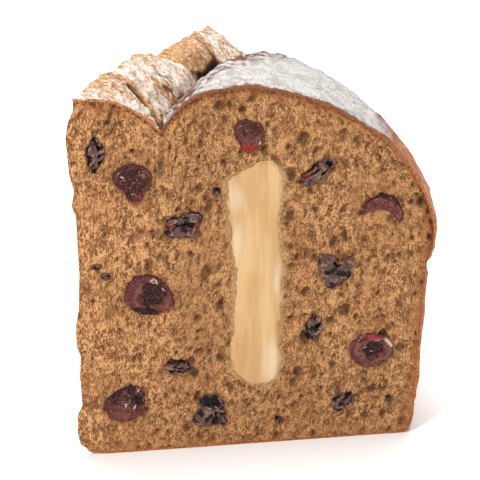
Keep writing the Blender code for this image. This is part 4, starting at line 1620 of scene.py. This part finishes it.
# ---------------------------------------------------------------------------------
# Clumps of icing sugar: fine powder that fell in little lumps through the sieve.
# They lie scattered on the dusted crust, thickest where the dusting is thickest.
# ---------------------------------------------------------------------------------
SUGAR_CLUMPS = 4200
CLUMP_SIZE = (0.10 * MM, 0.30 * MM)


def clump_piece():
    """Small uneven lumps on the crust's sugared points, joined in one mesh.

    Each is a twelve-cornered ball, its corners moved in or out by the dice, at a point of
    the crust that the dice chose. The more sugar lies at a point, and the wider apart the
    crust's points are there, away from the thin edge, the likelier it is chosen.
    """
    mesh = crust.data
    places = np.empty(len(mesh.vertices) * 3)
    mesh.vertices.foreach_get("co", places)
    places = places.reshape(-1, 3)
    sugar = np.empty(len(mesh.vertices))
    mesh.attributes["sugar"].data.foreach_get("value", sugar)
    keys = np.zeros((len(sugar), 3), dtype=np.int64)
    keys[:, 0] = np.arange(len(sugar))
    luck = dice(keys, 91) / np.maximum(sugar, 0.01) ** 2
    radius = np.hypot(*(places - THIN_EDGE)[:, :2].T)
    luck = luck / np.maximum(radius / (50.0 * MM), 0.1)
    chosen = np.argsort(luck)[:SUGAR_CLUMPS]
    body = bmesh.new()
    bmesh.ops.create_icosphere(body, subdivisions=1, radius=1.0)
    ball = np.array([v.co for v in body.verts])
    faces = np.array([[v.index for v in f.verts] for f in body.faces])
    body.free()
    low, high = CLUMP_SIZE
    cells = keys[chosen]
    size = low + (high - low) * dice(cells, 92) ** 2.5
    corner = np.broadcast_to(np.arange(len(ball)), (len(chosen), len(ball)))
    spots = np.stack([np.broadcast_to(cells[:, :1], corner.shape), corner, 0 * corner], axis=-1)
    uneven = 0.7 + 0.6 * dice(spots, 93)
    points = places[chosen][:, None] + ball[None] * (uneven * size[:, None])[..., None]
    all_faces = faces[None] + len(ball) * np.arange(len(chosen))[:, None, None]
    made_mesh = bpy.data.meshes.new("sugar_clumps")
    made_mesh.from_pydata(points.reshape(-1, 3), [], all_faces.reshape(-1, 3).tolist())
    made_mesh.shade_smooth()
    made = bpy.data.objects.new("sugar_clumps", made_mesh)
    bpy.context.scene.collection.objects.link(made)
    return made


clumps = clump_piece()
clump_stuff, clump_tree, clump_shader = matt_material("icing_sugar", SUGAR_WHITE, 0.9)
clump_tone = texture(clump_tree, "Noise", 300.0, Detail=1.0).shift(0.35, 0.65)
feed(clump_shader.inputs["Base Color"], blend(clump_tone, SUGAR_GREY, SUGAR_WHITE))
clumps.data.materials.append(clump_stuff)
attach(clumps, "root")
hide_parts("bread")
